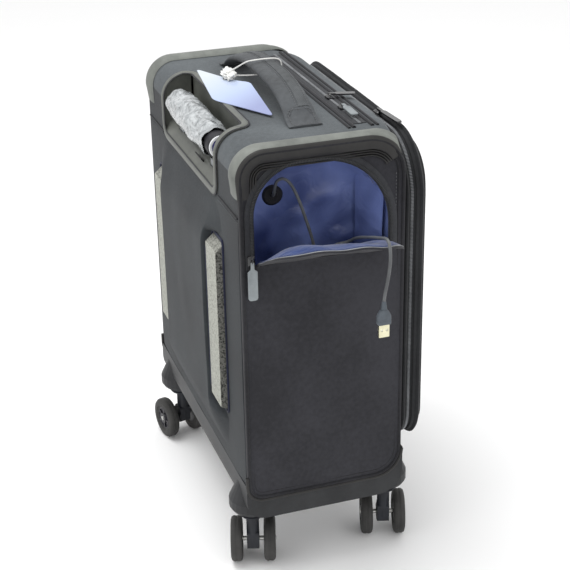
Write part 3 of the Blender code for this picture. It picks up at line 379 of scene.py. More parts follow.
def crinkled_film(name):
    """Protective polythene film: milky and creased, nearly opaque, with hard small highlights."""
    made, tree, shader = begin(name, 0.15, IOR=1.45, Coat_Weight=0.5, Coat_Roughness=0.1)
    place = node(tree, "ShaderNodeTexCoord").outputs["Object"]
    creases = node(tree, "ShaderNodeTexNoise",
                   {"Scale": 55.0, "Detail": 7.0, "Roughness": 0.7, "Distortion": 2.2}, {"Vector": place})
    tree.links.new(ramp(tree, creases.outputs[0], ((0.36, "75797b"), (0.62, "b9bdbf"))),
                   shader.inputs["Base Color"])
    opacity = node(tree, "ShaderNodeMapRange",
                   {"From Min": 0.3, "From Max": 0.6, "To Min": 0.8, "To Max": 0.96},
                   {"Value": creases.outputs[0]})
    tree.links.new(opacity.outputs[0], shader.inputs["Alpha"])
    bump = node(tree, "ShaderNodeBump", {"Strength": 0.8, "Distance": 0.0015}, {"Height": creases.outputs[0]})
    tree.links.new(bump.outputs[0], shader.inputs["Normal"])
    return made


# dark, matt pack cloths: the side is a little blue; the top is the same cloth painted palest, painted light
# where the top light falls on it
SIDE_CLOTH = woven("ballistic_polyester_side", "232327", "333338", 0.0018)
BACK_CLOTH = woven("pack_cloth_back", "242629", "303437", 0.0015)
# the top's copy of the pack cloth: painted light, paler than the side and back where the top light falls
TOP_CLOTH_PAINTED_LIGHT = woven("pack_cloth_top_painted_light", "43474a", "575c5f", 0.0015)
LID_CLOTH = woven("pack_cloth_lid", "1b1c1e", "28292b", 0.0016)
HANDLE_CLOTH = woven("padded_handle_cloth", "3c3e40", "505356", 0.0018)
# woven tapes and cords: coarse ribs on the webbing, nearly black seams, grey thread
WEBBING = woven("ribbed_webbing", "3a3c3e", "535658", 0.0026, relief=0.0009)
BINDING = woven("seam_binding_tape", "17171a", "2a2a2e", 0.0014, sheen=0.1)
NAVY_CORD = woven("navy_piping_cord", "0c0f1f", "191e38", 0.0012, sheen=0.15)
ZIP_TAPE = woven("zip_tape", "26272a", "3b3c3f", 0.0012)
SEWING_THREAD = woven("sewing_thread", "4a4c4e", "66686a", 0.0008, roughness=0.6)
# royal blue nylon that shines along its folds; the pocket's copy is painted paler, painted light inside the
# shaded pocket, and the flap's copy is darker
LINING = satin("nylon_satin_lining_painted_light", "303c6c", "7787bf")
FLAP_LINING = satin("nylon_satin_flap_lining", "283660", "3f5080")
# moulded plastics and rubbers: pale zip coil, warm grey guards and recess, nearly black base and frame
ZIP_COIL = moulded("nylon_zip_coil", "66686b", "8b8d90", 0.45)
DARK_COIL = moulded("dark_nylon_zip_coil", "2b2c2e", "434446", 0.5)
GUARD_RUBBER = moulded("moulded_corner_rubber", "5d605c", "787b76", 0.58, 0.0012)
RIDGE_RUBBER = moulded("dark_ridge_rubber", "1c1b1b", "2a2928", 0.5, 0.0012)
BEZEL_PLASTIC = moulded("abs_handle_bezel", "51534f", "666862", 0.42)
BASE_PLASTIC = moulded("textured_base_abs", "1b1c1e", "2b2c2e", 0.5, 0.0015, 0.0003)
FRAME_PLASTIC = moulded("black_frame_plastic", "1d1d20", "2c2c30", 0.6)
PORT_RUBBER = moulded("grommet_rubber", "0e0e10", "1d1c1f", 0.5)
CABLE_RUBBER = moulded("pvc_cable_jacket", "4c4e50", "646668", 0.42)
PLUG_PLASTIC = moulded("pvc_plug_overmould", "3f454b", "555c63", 0.5)
# the plug: nickel shell with a warm glint, white tongue, gold contacts
PLUG_STEEL = moulded("nickel_plated_shell", "b9b596", "e6e2c4", 0.25, metallic=1.0)
TONGUE_PLASTIC = moulded("white_plug_tongue", "cfcdb8", "efeede", 0.4)
CONTACT_GOLD = moulded("gold_plated_contact", "b08a36", "d8b860", 0.3, metallic=1.0)
# grip, pullers and casters: dull black, satin grey and glossy black enamel
GRIP_PLASTIC = moulded("soft_touch_grip", "151518", "24242a", 0.55)
PULLER_GREY = moulded("satin_grey_puller", "6a6f72", "898f92", 0.4)
ZIP_ENAMEL = moulded("black_enamelled_zinc", "0c0c0e", "26262a", 0.22, Coat_Weight=0.6)
NYLON = moulded("glass_filled_nylon", "14161c", "24272e", 0.45)
TYRE = moulded("grey_polyurethane_tyre", "2c2c2b", "403f3e", 0.7, 0.0014, 0.0003)
HUB_PLASTIC = moulded("dark_hub_plastic", "0d0c12", "1d1b24", 0.35)
# bare metals: ground axles, and handle tubes with fine streaks along them
AXLE_STEEL = brushed("ground_axle_steel", "8d8d8a", "c9c9c6", 0.25, (1.0, 1.0, 1.0))
TUBE_ALUMINIUM = brushed("anodised_handle_tube", "6b6e72", "93979b", 0.32, (1.0, 1.0, 0.03))
DARK_ALUMINIUM = brushed("black_anodised_tube", "141416", "2a2a2d", 0.4, (1.0, 1.0, 0.03))
# speckled grey foam, glossy card, white elastic, milky film and the grip's stickers
FOAM = speckled_foam("speckled_eva_foam", "8b8c85", "a9aaa2")
CARD = glossy_card("varnished_tag_card")
ELASTIC = woven("white_braided_elastic", "c9c9c6", "f2f2f0", 0.0010, roughness=0.6)
FILM = crinkled_film("crinkled_polythene_film")
WHITE_RING = moulded("white_sticker_ring", "d6d9dc", "f1f2f3", 0.35)
VIOLET_DISC = moulded("violet_foil_disc", "20245c", "3f3f96", 0.3, Coat_Weight=0.5)


# ---------------------------------------------------------------- shape helpers
def fillet_path(corners, closed=True, steps=8):
    """Points through (u, v, radius) corners; a zero radius leaves the corner sharp."""
    points = []
    count = len(corners)
    for i, (u, v, radius) in enumerate(corners):
        here = Vector((u, v))
        if radius <= 0.0 or (not closed and i in (0, count - 1)):
            points.append(here)
            continue
        back = (Vector(corners[i - 1][:2]) - here).normalized()
        ahead = (Vector(corners[(i + 1) % count][:2]) - here).normalized()
        half = back.angle(ahead) / 2
        centre = here + (back + ahead).normalized() * (radius / math.sin(half))
        start = here + back * (radius / math.tan(half)) - centre
        finish = here + ahead * (radius / math.tan(half)) - centre
        sweep = math.atan2(start.x * finish.y - start.y * finish.x, start.dot(finish))
        for k in range(steps + 1):
            points.append(centre + Matrix.Rotation(sweep * k / steps, 2) @ start)
    return points


def box_outline(low_u, high_u, low_v, high_v, radius=0.0, steps=6):
    corners = ((low_u, low_v), (high_u, low_v), (high_u, high_v), (low_u, high_v))
    return fillet_path([(u, v, radius) for u, v in corners], steps=steps)


def circle(u, v, radius, sides=24):
    turn = 2 * math.pi / sides
    return [Vector((u + radius * math.cos(turn * k), v + radius * math.sin(turn * k)))
            for k in range(sides)]


def even(points, spacing, closed=False):
    """The same line with a point about every spacing."""
    points = [Vector(p) for p in points]
    if closed:
        points.append(points[0])
    lengths = [0.0]
    for a, b in zip(points, points[1:]):
        lengths.append(lengths[-1] + (b - a).length)
    count = max(2, round(lengths[-1] / spacing))
    made = []
    at = 0
    for k in range(count + (0 if closed else 1)):
        want = lengths[-1] * k / count
        while at < len(points) - 2 and lengths[at + 1] < want:
            at += 1
        span = max(1e-9, lengths[at + 1] - lengths[at])
        made.append(points[at].lerp(points[at + 1], min(1.0, (want - lengths[at]) / span)))
    return made


def resize(ring, count):
    """The same closed ring with exactly count points."""
    total = sum((b - a).length for a, b in zip(ring, ring[1:] + ring[:1]))
    made = even(ring, total / count, closed=True)
    return made[:count] if len(made) >= count else made + [made[-1]] * (count - len(made))


def smooth_route(route, spacing):
    """Even points along a smooth curve through the route's own points."""
    knots = [Vector(p) for p in route]
    ends = [knots[0] * 2 - knots[1]] + knots + [knots[-1] * 2 - knots[-2]]
    fine = []
    for a, b, c, d in zip(ends, ends[1:], ends[2:], ends[3:]):
        for k in range(12):
            t = k / 12
            fine.append(0.5 * (2 * b + (c - a) * t + (2 * a - 5 * b + 4 * c - d) * t ** 2
                               + (3 * b - a - 3 * c + d) * t ** 3))
    return even(fine + [knots[-1]], spacing)


def lift(outline, axis, level):
    """A flat outline as 3-D points: X takes (y, z), Y takes (x, z), Z takes (x, y)."""
    order = {"X": lambda p: (level, p[0], p[1]), "Y": lambda p: (p[0], level, p[1]),
             "Z": lambda p: (p[0], p[1], level)}[axis]
    return [Vector(order(p)) for p in outline]


def loft(rings, wrap=False, caps=True):
    """Skin through equal rings, capped at both ends, open, or joined end to end."""
    mesh = bmesh.new()
    rows = [[mesh.verts.new(p) for p in ring] for ring in rings]
    size = len(rows[0])
    links = list(zip(rows, rows[1:]))
    if wrap:
        links.append((rows[-1], rows[0]))
    elif caps:
        mesh.faces.new(rows[0])
        mesh.faces.new(rows[-1])
    for one, two in links:
        for k in range(size):
            n = (k + 1) % size
            mesh.faces.new((one[k], one[n], two[n], two[k]))
    bmesh.ops.recalc_face_normals(mesh, faces=mesh.faces)
    return mesh


def slab(rows_front, rows_back):
    """Closed plate between two equal grids of points."""
    mesh = bmesh.new()
    grids = [[[mesh.verts.new(p) for p in row] for row in rows] for rows in (rows_front, rows_back)]
    high = len(rows_front)
    wide = len(rows_front[0])
    for grid in grids:
        for i in range(high - 1):
            for j in range(wide - 1):
                mesh.faces.new((grid[i][j], grid[i][j + 1], grid[i + 1][j + 1], grid[i + 1][j]))
    rim = [(0, j) for j in range(wide)] + [(i, wide - 1) for i in range(1, high)]
    rim += [(high - 1, j) for j in range(wide - 2, -1, -1)] + [(i, 0) for i in range(high - 2, 0, -1)]
    front, back = grids
    for (i, j), (k, m) in zip(rim, rim[1:] + rim[:1]):
        mesh.faces.new((front[i][j], front[k][m], back[k][m], back[i][j]))
    bmesh.ops.recalc_face_normals(mesh, faces=mesh.faces)
    return mesh


def prism(outline, axis, low, high):
    return loft([lift(outline, axis, low), lift(outline, axis, high)])


def sweep(path, section, closed=False, side=None):
    """Skin of a section carried along a path; side fixes the section's second axis on flat paths."""
    path = [Vector(p) for p in path]
    count = len(path)
    rings = []
    second = None
    for k, here in enumerate(path):
        before = path[k - 1] if closed or k else here
        after = path[(k + 1) % count] if closed or k < count - 1 else here
        along = (after - before).normalized()
        if side is not None:
            second = Vector(side)
        elif second is None:
            second = along.orthogonal()
        second = (second - along * second.dot(along)).normalized()
        first = second.cross(along)
        rings.append([here + first * u + second * v for u, v in section])
    return loft(rings, wrap=closed)


def cord_mesh(route, diameter, sides=10, spacing=None):
    path = smooth_route(route, spacing or diameter)
    return sweep(path, circle(0, 0, diameter / 2, sides)), path


def lathe(profile, sides=48):
    """Ring of revolution about X from a closed list of (x, radius)."""
    rings = []
    for k in range(sides):
        turn = 2 * math.pi * k / sides
        rings.append([Vector((x, r * math.cos(turn), r * math.sin(turn))) for x, r in profile])
    return loft(rings, wrap=True)


def carve(mesh, cuts):
    """Booleans of closed meshes: cuts is a list of (operation, mesh)."""
    def hold(data_mesh):
        data = bpy.data.meshes.new("blank")
        data_mesh.to_mesh(data)
        data_mesh.free()
        made = bpy.data.objects.new("blank", data)
        bpy.context.scene.collection.objects.link(made)
        return made
    item = hold(mesh)
    tools = []
    for operation, tool in cuts:
        boolean = item.modifiers.new(operation, "BOOLEAN")
        boolean.operation = operation
        boolean.object = hold(tool)
        tools.append(boolean.object)
    depsgraph = bpy.context.evaluated_depsgraph_get()
    done = bpy.data.meshes.new_from_object(item.evaluated_get(depsgraph))
    result = bmesh.new()
    result.from_mesh(done)
    bmesh.ops.remove_doubles(result, verts=result.verts, dist=1e-6)
    bpy.data.meshes.remove(done)
    for used in tools + [item]:
        bpy.data.objects.remove(used, do_unlink=True)
    return result


def wobble(place, scale, seed=0.0):
    """Smooth noise from -1 to 1."""
    return noise.noise(Vector(place) * scale + Vector((seed, seed * 1.7, seed * 0.3)))


def make(name, mesh, look, body, replaces=(), smooth=35.0, placed=False):
    """A finished piece from a bmesh in the case's frame."""
    if not placed:
        bmesh.ops.translate(mesh, verts=mesh.verts, vec=CENTRE)
    data = bpy.data.meshes.new(name)
    mesh.to_mesh(data)
    mesh.free()
    item = bpy.data.objects.new(name, data)
    bpy.context.scene.collection.objects.link(item)
    data.materials.append(look)
    data.shade_smooth()
    data.set_sharp_from_angle(angle=math.radians(smooth))
    if replaces:
        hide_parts(*replaces)
    if body:
        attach(item, body)
    return item


def finish_nodes(names, look):
    """Gives carried-over frame pieces their finish."""
    for name in names:
        slots = frame["nodes"][name].material_slots
        for entry in slots:
            entry.material = look


def join(meshes):
    whole = bmesh.new()
    for mesh in meshes:
        data = bpy.data.meshes.new("part")
        mesh.to_mesh(data)
        mesh.free()
        whole.from_mesh(data)
        bpy.data.meshes.remove(data)
    return whole


# ---------------------------------------------------------------- repeated small things
def repeat_tree():
    """Geometry Nodes: one small shape every Spacing along a line, its top turned to Facing."""
    tree = bpy.data.node_groups.new("repeat_along_line", "GeometryNodeTree")
    face = tree.interface
    face.new_socket("Geometry", in_out="INPUT", socket_type="NodeSocketGeometry")
    for name, kind in (("Spacing", "NodeSocketFloat"), ("Shape", "NodeSocketObject"),
                       ("Facing", "NodeSocketVector"), ("Finish", "NodeSocketMaterial")):
        face.new_socket(name, in_out="INPUT", socket_type=kind)
    face.new_socket("Geometry", in_out="OUTPUT", socket_type="NodeSocketGeometry")
    given = node(tree, "NodeGroupInput")
    line = node(tree, "GeometryNodeResampleCurve",
                links={"Curve": given.outputs["Geometry"], "Length": given.outputs["Spacing"]}, mode="LENGTH")
    shape = node(tree, "GeometryNodeObjectInfo", {"As Instance": True}, {"Object": given.outputs["Shape"]})
    tangent = node(tree, "GeometryNodeInputTangent")
    along = node(tree, "FunctionNodeAlignRotationToVector", links={"Vector": tangent.outputs[0]}, axis="X")
    turned = node(tree, "FunctionNodeAlignRotationToVector",
                  links={"Rotation": along.outputs[0], "Vector": given.outputs["Facing"]},
                  axis="Z", pivot_axis="X")
    copies = node(tree, "GeometryNodeInstanceOnPoints",
                  links={"Points": line.outputs[0], "Instance": shape.outputs["Geometry"],
                         "Rotation": turned.outputs[0]})
    real = node(tree, "GeometryNodeRealizeInstances", links={0: copies.outputs[0]})
    painted = node(tree, "GeometryNodeSetMaterial",
                   links={"Geometry": real.outputs[0], "Material": given.outputs["Finish"]})
    node(tree, "NodeGroupOutput", links={0: painted.outputs[0]})
    return tree


REPEAT = repeat_tree()


def seed_shape(name, long, wide, high):
    """One small domed capsule along X, resting on z = 0, as a source for repeats."""
    sides = 6
    rings = []
    for share, size in ((-1.0, 0.35), (-0.7, 1.0), (0.7, 1.0), (1.0, 0.35)):
        rings.append([Vector((share * long / 2, size * wide / 2 * math.cos(math.pi * 2 * k / sides),
                              high / 2 + size * high / 2 * math.sin(math.pi * 2 * k / sides)))
                      for k in range(sides)])
    mesh = loft(rings)
    data = bpy.data.meshes.new(name)
    mesh.to_mesh(data)
    mesh.free()
    item = bpy.data.objects.new(name, data)
    bpy.context.scene.collection.objects.link(item)
    item.hide_render = True
    return item


TOOTH = seed_shape("coil_turn", 0.0009, 0.0042, 0.0013)
EDGE_TOOTH = seed_shape("coil_turn_on_edge", 0.0009, 0.0013, 0.0042)
STITCH = seed_shape("stitch", 0.0026, 0.0008, 0.0007)
SEEDS = [TOOTH, EDGE_TOOTH, STITCH]


def repeat(name, lines, shape, spacing, facing, look, body):
    """Copies of a small shape along lines given as (points, closed)."""
    curve = bpy.data.curves.new(name, "CURVE")
    curve.dimensions = "3D"
    for points, closed in lines:
        spline = curve.splines.new("POLY")
        spline.points.add(len(points) - 1)
        spline.use_cyclic_u = closed
        for point, place in zip(spline.points, points):
            point.co = (*(Vector(place) + CENTRE), 1.0)
    line = bpy.data.objects.new(name + "_line", curve)
    bpy.context.scene.collection.objects.link(line)
    shape_nodes = line.modifiers.new("Repeat", "NODES")
    shape_nodes.node_group = REPEAT
    values = {"Spacing": spacing, "Shape": shape, "Facing": facing, "Finish": look}
    for item in REPEAT.interface.items_tree:
        if item.in_out == "INPUT" and item.name in values:
            shape_nodes[item.identifier] = values[item.name]
    depsgraph = bpy.context.evaluated_depsgraph_get()
    data = bpy.data.meshes.new_from_object(line.evaluated_get(depsgraph))
    data.name = name
    made = bpy.data.objects.new(name, data)
    bpy.context.scene.collection.objects.link(made)
    bpy.data.objects.remove(line, do_unlink=True)
    data.shade_smooth()
    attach(made, body)
    return made


# ---------------------------------------------------------------- case outlines
def side_corners(inset=0.0):
    return [(HALF_D - inset, SEAM_Z + inset, BACK_LOW_R - inset),
            (HALF_D - inset, TOP_Z - inset, BACK_TOP_R - inset),
            (-HALF_D + inset, TOP_Z - inset, FRONT_TOP_R - inset),
            (-HALF_D + inset, SEAM_Z + inset, FRONT_LOW_R - inset)]


def arch_outline(margin=0.0, low=ARCH_LOW_Z, low_r=0.0):
    return fillet_path([(ARCH_BACK_Y + margin, low, low_r),
                        (ARCH_BACK_Y + margin, ARCH_TOP_Z + margin, ARCH_BACK_R + margin),
                        (ARCH_FRONT_Y - margin, ARCH_TOP_Z + margin, ARCH_FRONT_R + margin),
                        (ARCH_FRONT_Y - margin, low, low_r)], steps=ARCH_STEPS)


def lid_outline(inset=0.0):
    half = HALF_W - inset
    low = LID_LOW.z + inset
    top = LID_HIGH.z - inset
    return fillet_path([(-half, low, LID_LOW_R - inset), (half, low, LID_LOW_R - inset),
                        (half, top, LID_TOP_R - inset), (-half, top, LID_TOP_R - inset)], steps=12)


def frame_top_at(x):
    over = min(LID_TOP_R, max(0.0, abs(x) - INNER_X + LID_TOP_R))
    return LID_HIGH.z - LID_TOP_R + math.sqrt(LID_TOP_R ** 2 - over ** 2)


def front_radius(x):
    """Radius of the top's front edge at x, tight in the middle and full at the sides."""
    if abs(x) >= INNER_X:
        return FRONT_TOP_R
    return min(FRONT_TOP_R, TOP_Z - frame_top_at(x) - 0.0012)


def top_surface(x, y):
    """Height of the case's top at (x, y), where it rounds over towards the front."""
    radius = front_radius(x)
    over = max(0.0, -(y + HALF_D - radius))
    return TOP_Z - radius + math.sqrt(max(0.0, radius ** 2 - min(over, radius) ** 2))


# ---------------------------------------------------------------- case cloth
def pillow(u, v, power=6.0):
    """1 in the middle of a panel, falling to 0 at its edges; u and v run from -1 to 1."""
    return max(0.0, 1 - abs(u) ** power) ** 0.6 * max(0.0, 1 - abs(v) ** power) ** 0.6


def side_skin(sign):
    """Side cloth stretched over foam: slightly full, with faint drags."""
    high = 88
    wide = 40
    front = []
    back = []
    for i in range(high + 1):
        z = SEAM_Z - 0.002 + (TOP_Z - SEAM_Z + 0.004) * i / high
        front_row = []
        back_row = []
        for j in range(wide + 1):
            y = -HALF_D - 0.002 + (2 * HALF_D + 0.004) * j / wide
            u = y / HALF_D
            if sign < 0:
                v = 2 * (z - SEAM_Z) / (ARCH_LOW_Z - SEAM_Z) - 1
                full = 0.0022 * pillow(u, min(1.0, v)) if v < 1 else 0.0
            else:
                full = 0.0030 * pillow(u, 2 * (z - SEAM_Z) / (TOP_Z - SEAM_Z) - 1)
            drag = 0.0004 * wobble((0.0, y, 0.35 * z), 22.0, 3.0 + sign) * pillow(u, 0.0)
            front_row.append(Vector((sign * (HALF_W + full + drag), y, z)))
            back_row.append(Vector((sign * (HALF_W - FABRIC), y, z)))
        front.append(front_row)
        back.append(back_row)
    outline = prism(fillet_path(side_corners()), "X", -HALF_W - 0.02, HALF_W + 0.02)
    cuts = [("INTERSECT", outline)]
    if sign < 0:
        cuts.append(("DIFFERENCE", prism(arch_outline(), "X", -HALF_W - 0.03, -HALF_W + 0.03)))
    return carve(slab(front, back), cuts)


def make_sides():
    for sign, name in ((-1, "near"), (1, "far")):
        make(f"side_cloth_{name}", side_skin(sign), SIDE_CLOTH, "case",
             [f"side_panel_{name}"])
        rolls = []
        for inset, radius, out in ((0.0022, 0.0022, 0.0006), (0.0085, 0.0011, 0.0002)):
            path = even(fillet_path(side_corners(inset)), 0.006, closed=True)
            rolls.append(sweep(lift(path, "X", sign * (HALF_W + out)), circle(0, 0, radius, 8),
                               closed=True, side=(1, 0, 0)))
        make(f"side_piping_{name}", join(rolls), BINDING, "case")
        path = lift(even(fillet_path(side_corners(0.0115)), 0.004, closed=True), "X", sign * HALF_W)
        low = [p for p in path if p.z < GUARD_LOW.z + 0.01]
        low.sort(key=lambda p: math.atan2(p.y, TOP_Z - p.z))
        repeat(f"side_stitches_{name}", [(low, False)], STITCH, STITCH_STEP, (sign, 0, 0), SEWING_THREAD,
               "case")


def back_full(x, z):
    """How far the back cloth stands out past the case's flat back."""
    if z > 0.475:
        return 0.0
    fade = max(0.0, min(1.0, (0.470 - z) / 0.03))
    drag = 0.0005 * wobble((x, 0.0, 0.4 * z), 20.0, 8.0) * fade
    return 0.0026 * pillow(x / HALF_W, 2 * (z - SEAM_Z) / (0.475 - SEAM_Z) - 1) + drag


def smooth_step(value):
    value = max(0.0, min(1.0, value))
    return value * value * (3 - 2 * value)


def make_back():
    outline = box_outline(-INNER_X, INNER_X, SEAM_Z + BACK_LOW_R, TOP_BACK_Z, 0.0)
    high = 60
    wide = 60
    front = []
    back = []
    for i in range(high + 1):
        z = SEAM_Z + (TOP_Z - SEAM_Z) * i / high
        front_row = []
        back_row = []
        for j in range(wide + 1):
            x = -HALF_W + 2 * HALF_W * j / wide
            front_row.append(Vector((x, HALF_D + back_full(x, z), z)))
            back_row.append(Vector((x, HALF_D - FABRIC, z)))
        front.append(front_row)
        back.append(back_row)
    notch = box_outline(BEZEL_LOW.x, BEZEL_HIGH.x, BEZEL_LOW.z, TOP_Z + 0.04, RECESS_R)
    cloth = carve(slab(front, back), [("INTERSECT", prism(outline, "Y", HALF_D - 0.02, HALF_D + 0.02)),
                                      ("DIFFERENCE", prism(notch, "Y", HALF_D - 0.03, HALF_D + 0.03))])
    make("back_cloth", cloth, BACK_CLOTH, "case", ["back_panel"])
    yoke_z = BEZEL_LOW.z + 0.003
    lines = []
    seams = []
    for sign in (-1, 1):
        path = [Vector((sign * x, HALF_D + 0.0006, yoke_z)) for x in (0.122, 0.150, 0.196)]
        lines.append(sweep(path, circle(0, 0, 0.0013, 8), side=(0, 0, 1)))
        seams.append(([Vector((sign * x, HALF_D + 0.0004, yoke_z - 0.005)) for x in (0.122, 0.196)], False))
    make("back_yoke_seam", join(lines), BINDING, "case")
    repeat("back_yoke_stitches", seams, STITCH, STITCH_STEP, (0, 1, 0), SEWING_THREAD, "case")


def pad_height(x, z):
    """Cushion of the back: steep beside the foam bars, widening softly above and below them."""
    beside = smooth_step((0.438 - z) / 0.014) * smooth_step((z - 0.194) / 0.014)
    half = 0.0996 + 0.044 * (1 - beside)
    ramp_width = 0.0050 + 0.042 * (1 - beside)
    edge = smooth_step((half - abs(x)) / ramp_width)
    ends = smooth_step((0.474 - z) / 0.066) * smooth_step((z - 0.142) / 0.056)
    return (PAD_HIGH.y - HALF_D - 0.0022) * edge * ends


def make_back_pad():
    columns = [0.01 * k for k in range(9)] + [0.0860, 0.0900, 0.0925, 0.0940, 0.0952, 0.0962, 0.0972, 0.0982,
                                             0.0990, 0.0997, 0.1010, 0.1040]
    columns += [0.108 + 0.004 * k for k in range(11)]
    columns = [-x for x in reversed(columns[1:])] + columns
    front = []
    back = []
    for i in range(121):
        z = 0.138 + (0.478 - 0.138) * i / 120
        front_row = []
        for x in columns:
            rise = pad_height(x, z)
            dent = 0.0008 * wobble((x, 0.0, 0.6 * z), 26.0, 12.0) * min(1.0, rise / 0.006)
            tuck = 0.0009 * (1 - min(1.0, rise / 0.002))
            front_row.append(Vector((x, HALF_D + back_full(x, z) + rise + dent - tuck, z)))
        front.append(front_row)
        back.append([Vector((x, HALF_D - 0.0030, z)) for x in columns])
    cushion = make("back_pad_cover", slab(front, back), BACK_CLOTH, "case", ["back_pad"],
                   smooth=60)
    for name in ("near", "far"):
        low, high = case_box(f"foam_bar_{name}")
        middle = (low + high) / 2
        bar = bmesh.new()
        bmesh.ops.create_cube(bar, size=1.0)
        bmesh.ops.scale(bar, vec=high - low, verts=bar.verts)
        bmesh.ops.translate(bar, vec=middle, verts=bar.verts)
        for vert in bar.verts:
            if vert.co.y > middle.y:
                vert.co.z += 0.006 if vert.co.z < middle.z else -0.011
        bmesh.ops.bevel(bar, geom=bar.edges[:], offset=0.0012, segments=3, affect="EDGES", profile=0.6)
        make(f"foam_bar_{name}_cut", bar, FOAM, "case", [f"foam_bar_{name}"])
        outline = box_outline(low.x - 0.0012, high.x + 0.0012, low.z - 0.003, high.z + 0.003, 0.004)
        path = []
        for p in even(outline, 0.005, closed=True):
            inner = smooth_step((0.1075 - abs(p.x)) / 0.006)
            inner *= smooth_step((high.z - 0.008 - p.y) / 0.012) * smooth_step((p.y - low.z - 0.004) / 0.012)
            path.append(Vector((p.x, HALF_D + 0.0030 + 0.0085 * inner, p.y)))
        piping = sweep(path, circle(0, 0, 0.0016, 8), closed=True, side=(0, 1, 0))
        make(f"foam_piping_{name}", piping, NAVY_CORD, "case")


def top_section(x, inset):
    radius = front_radius(x)
    return fillet_path([(HALF_D - inset, TOP_BACK_Z, 0.0),
                        (HALF_D - inset, TOP_Z - inset, BACK_TOP_R - inset),
                        (-HALF_D + inset, TOP_Z - inset, max(0.001, radius - inset)),
                        (-HALF_D + inset, frame_top_at(x) + 0.0012, 0.0)], closed=False, steps=10)


def make_top():
    flat = INNER_X - LID_TOP_R
    stations = [flat * k / 10 for k in range(10)]
    stations += [flat + (INNER_X - flat) * math.sin(math.pi / 2 * k / 14) for k in range(15)]
    stations = [-x for x in reversed(stations[1:])] + stations
    rings = [lift(top_section(x, 0.0) + top_section(x, FABRIC)[::-1], "X", x) for x in stations]
    notch = box_outline(BEZEL_LOW.x, BEZEL_HIGH.x, BEZEL_LOW.y, HALF_D + 0.04, RECESS_R)
    cloth = carve(loft(rings), [("DIFFERENCE", prism(notch, "Z", TOP_BACK_Z - 0.01, TOP_Z + 0.01))])
    # the top cloth's paler colour is painted light
    make("top_cloth", cloth, TOP_CLOTH_PAINTED_LIGHT, "case", ["top_panel"], smooth=50)


MAIN_TRACK_Y = -0.0620


def make_main_zip():
    """Gusset between the top and the lid: zip tape, coil and two rolled seams on each side of it."""
    flat_half = 0.150
    tape = []
    for i in range(61):
        x = -flat_half + 2 * flat_half * i / 60
        row = []
        for y, rise in ((MAIN_TRACK_Y + 0.0085, 0.0001), (MAIN_TRACK_Y + 0.0075, 0.0008),
                        (MAIN_TRACK_Y + 0.0030, 0.0010), (MAIN_TRACK_Y - 0.0030, 0.0010),
                        (MAIN_TRACK_Y - 0.0075, 0.0008), (MAIN_TRACK_Y - 0.0085, 0.0001)):
            row.append(Vector((x, y, top_surface(x, y) + rise)))
        tape.append(row + [Vector((p.x, p.y, p.z - 0.0012)) for p in row[::-1]])
    make("main_zip_tape", loft(tape), ZIP_TAPE, "case")
    track = [Vector((x / 100, MAIN_TRACK_Y, TOP_Z + 0.0006)) for x in range(-15, 16, 3)]
    repeat("main_zip_coil", [(track, False)], TOOTH, COIL_TURN, (0, 0, 1), ZIP_COIL, "case")
    rolls = []
    for y, radius in ((MAIN_TRACK_Y + 0.0168, 0.0016), (MAIN_TRACK_Y + 0.0112, 0.0023),
                      (MAIN_TRACK_Y - 0.0108, 0.0021), (MAIN_TRACK_Y - 0.0170, 0.0018)):
        path = [Vector((x, y, top_surface(x, y) + 0.0004)) for x in
                (-flat_half - 0.012 + (2 * flat_half + 0.024) * i / 40 for i in range(41))]
        rolls.append(sweep(path, circle(0, 0, radius, 8), side=(0, 0, 1)))
    make("main_zip_seams", join(rolls), BINDING, "case")


# ---------------------------------------------------------------- front lid
LID_PROFILE = ((0.0, 0.0012), (0.0006, -0.0004), (0.0022, -0.0010), (0.0040, -0.0004), (0.0050, 0.0010),
               (0.0066, 0.0012), (0.0072, 0.0022), (0.0088, 0.0024), (0.0118, 0.0024), (0.0134, 0.0022),
               (0.0140, 0.0010), (0.0158, 0.0006), (0.0176, 0.0006), (0.0186, -0.0006),
               (0.0202, -0.0012), (0.0218, -0.0004), (0.0226, 0.0012))
LID_TRACK = 0.0103


def make_lid():
    """Zipped lid: a soft wall with two rolled seams and a zip track between them."""
    back_y = LID_HIGH.y
    outer = []
    for depth, inset in LID_PROFILE:
        outline = resize(lid_outline(inset * 1.7), 210)
        ring = []
        for p in outline:
            slack = 0.0005 * wobble((p.x, depth * 8, p.y), 30.0, 5.0)
            ring.append(Vector((p.x * (1 + slack / 0.2), back_y - depth, p.y + slack)))
        outer.append(ring)
    front = LID_HIGH.y - LID_LOW.y
    for inset, depth in ((0.0030, 0.0240), (0.0070, front), (0.0180, front), (0.0180, front - 0.0025),
                         (0.0090, front - 0.0035), (0.0050, 0.0190), (0.0048, 0.0)):
        outer.append([Vector((p.x, back_y - depth, p.y)) for p in resize(lid_outline(inset), 210)])
    shell = loft(outer, wrap=True)
    make("lid_cover", shell, LID_CLOTH, "lid", ["lid_shell"], smooth=50)
    track = [Vector((p.x, back_y - LID_TRACK, p.y)) for p in even(lid_outline(0.0018), 0.004, closed=True)]
    start = max(range(len(track)), key=lambda k: track[k].x - abs(track[k].z - 0.3))
    track = track[start:] + track[:start]
    repeat("lid_zip_coil", [(track, True)], EDGE_TOOTH, COIL_TURN, (0, 1, 0), ZIP_COIL, "lid")
    rear = [Vector((p.x, back_y + 0.0002, p.y)) for p in even(lid_outline(0.0030), 0.004, closed=True)]
    repeat("lid_edge_coil", [(rear, True)], EDGE_TOOTH, COIL_TURN, (0, 1, 0), ZIP_COIL, "lid")


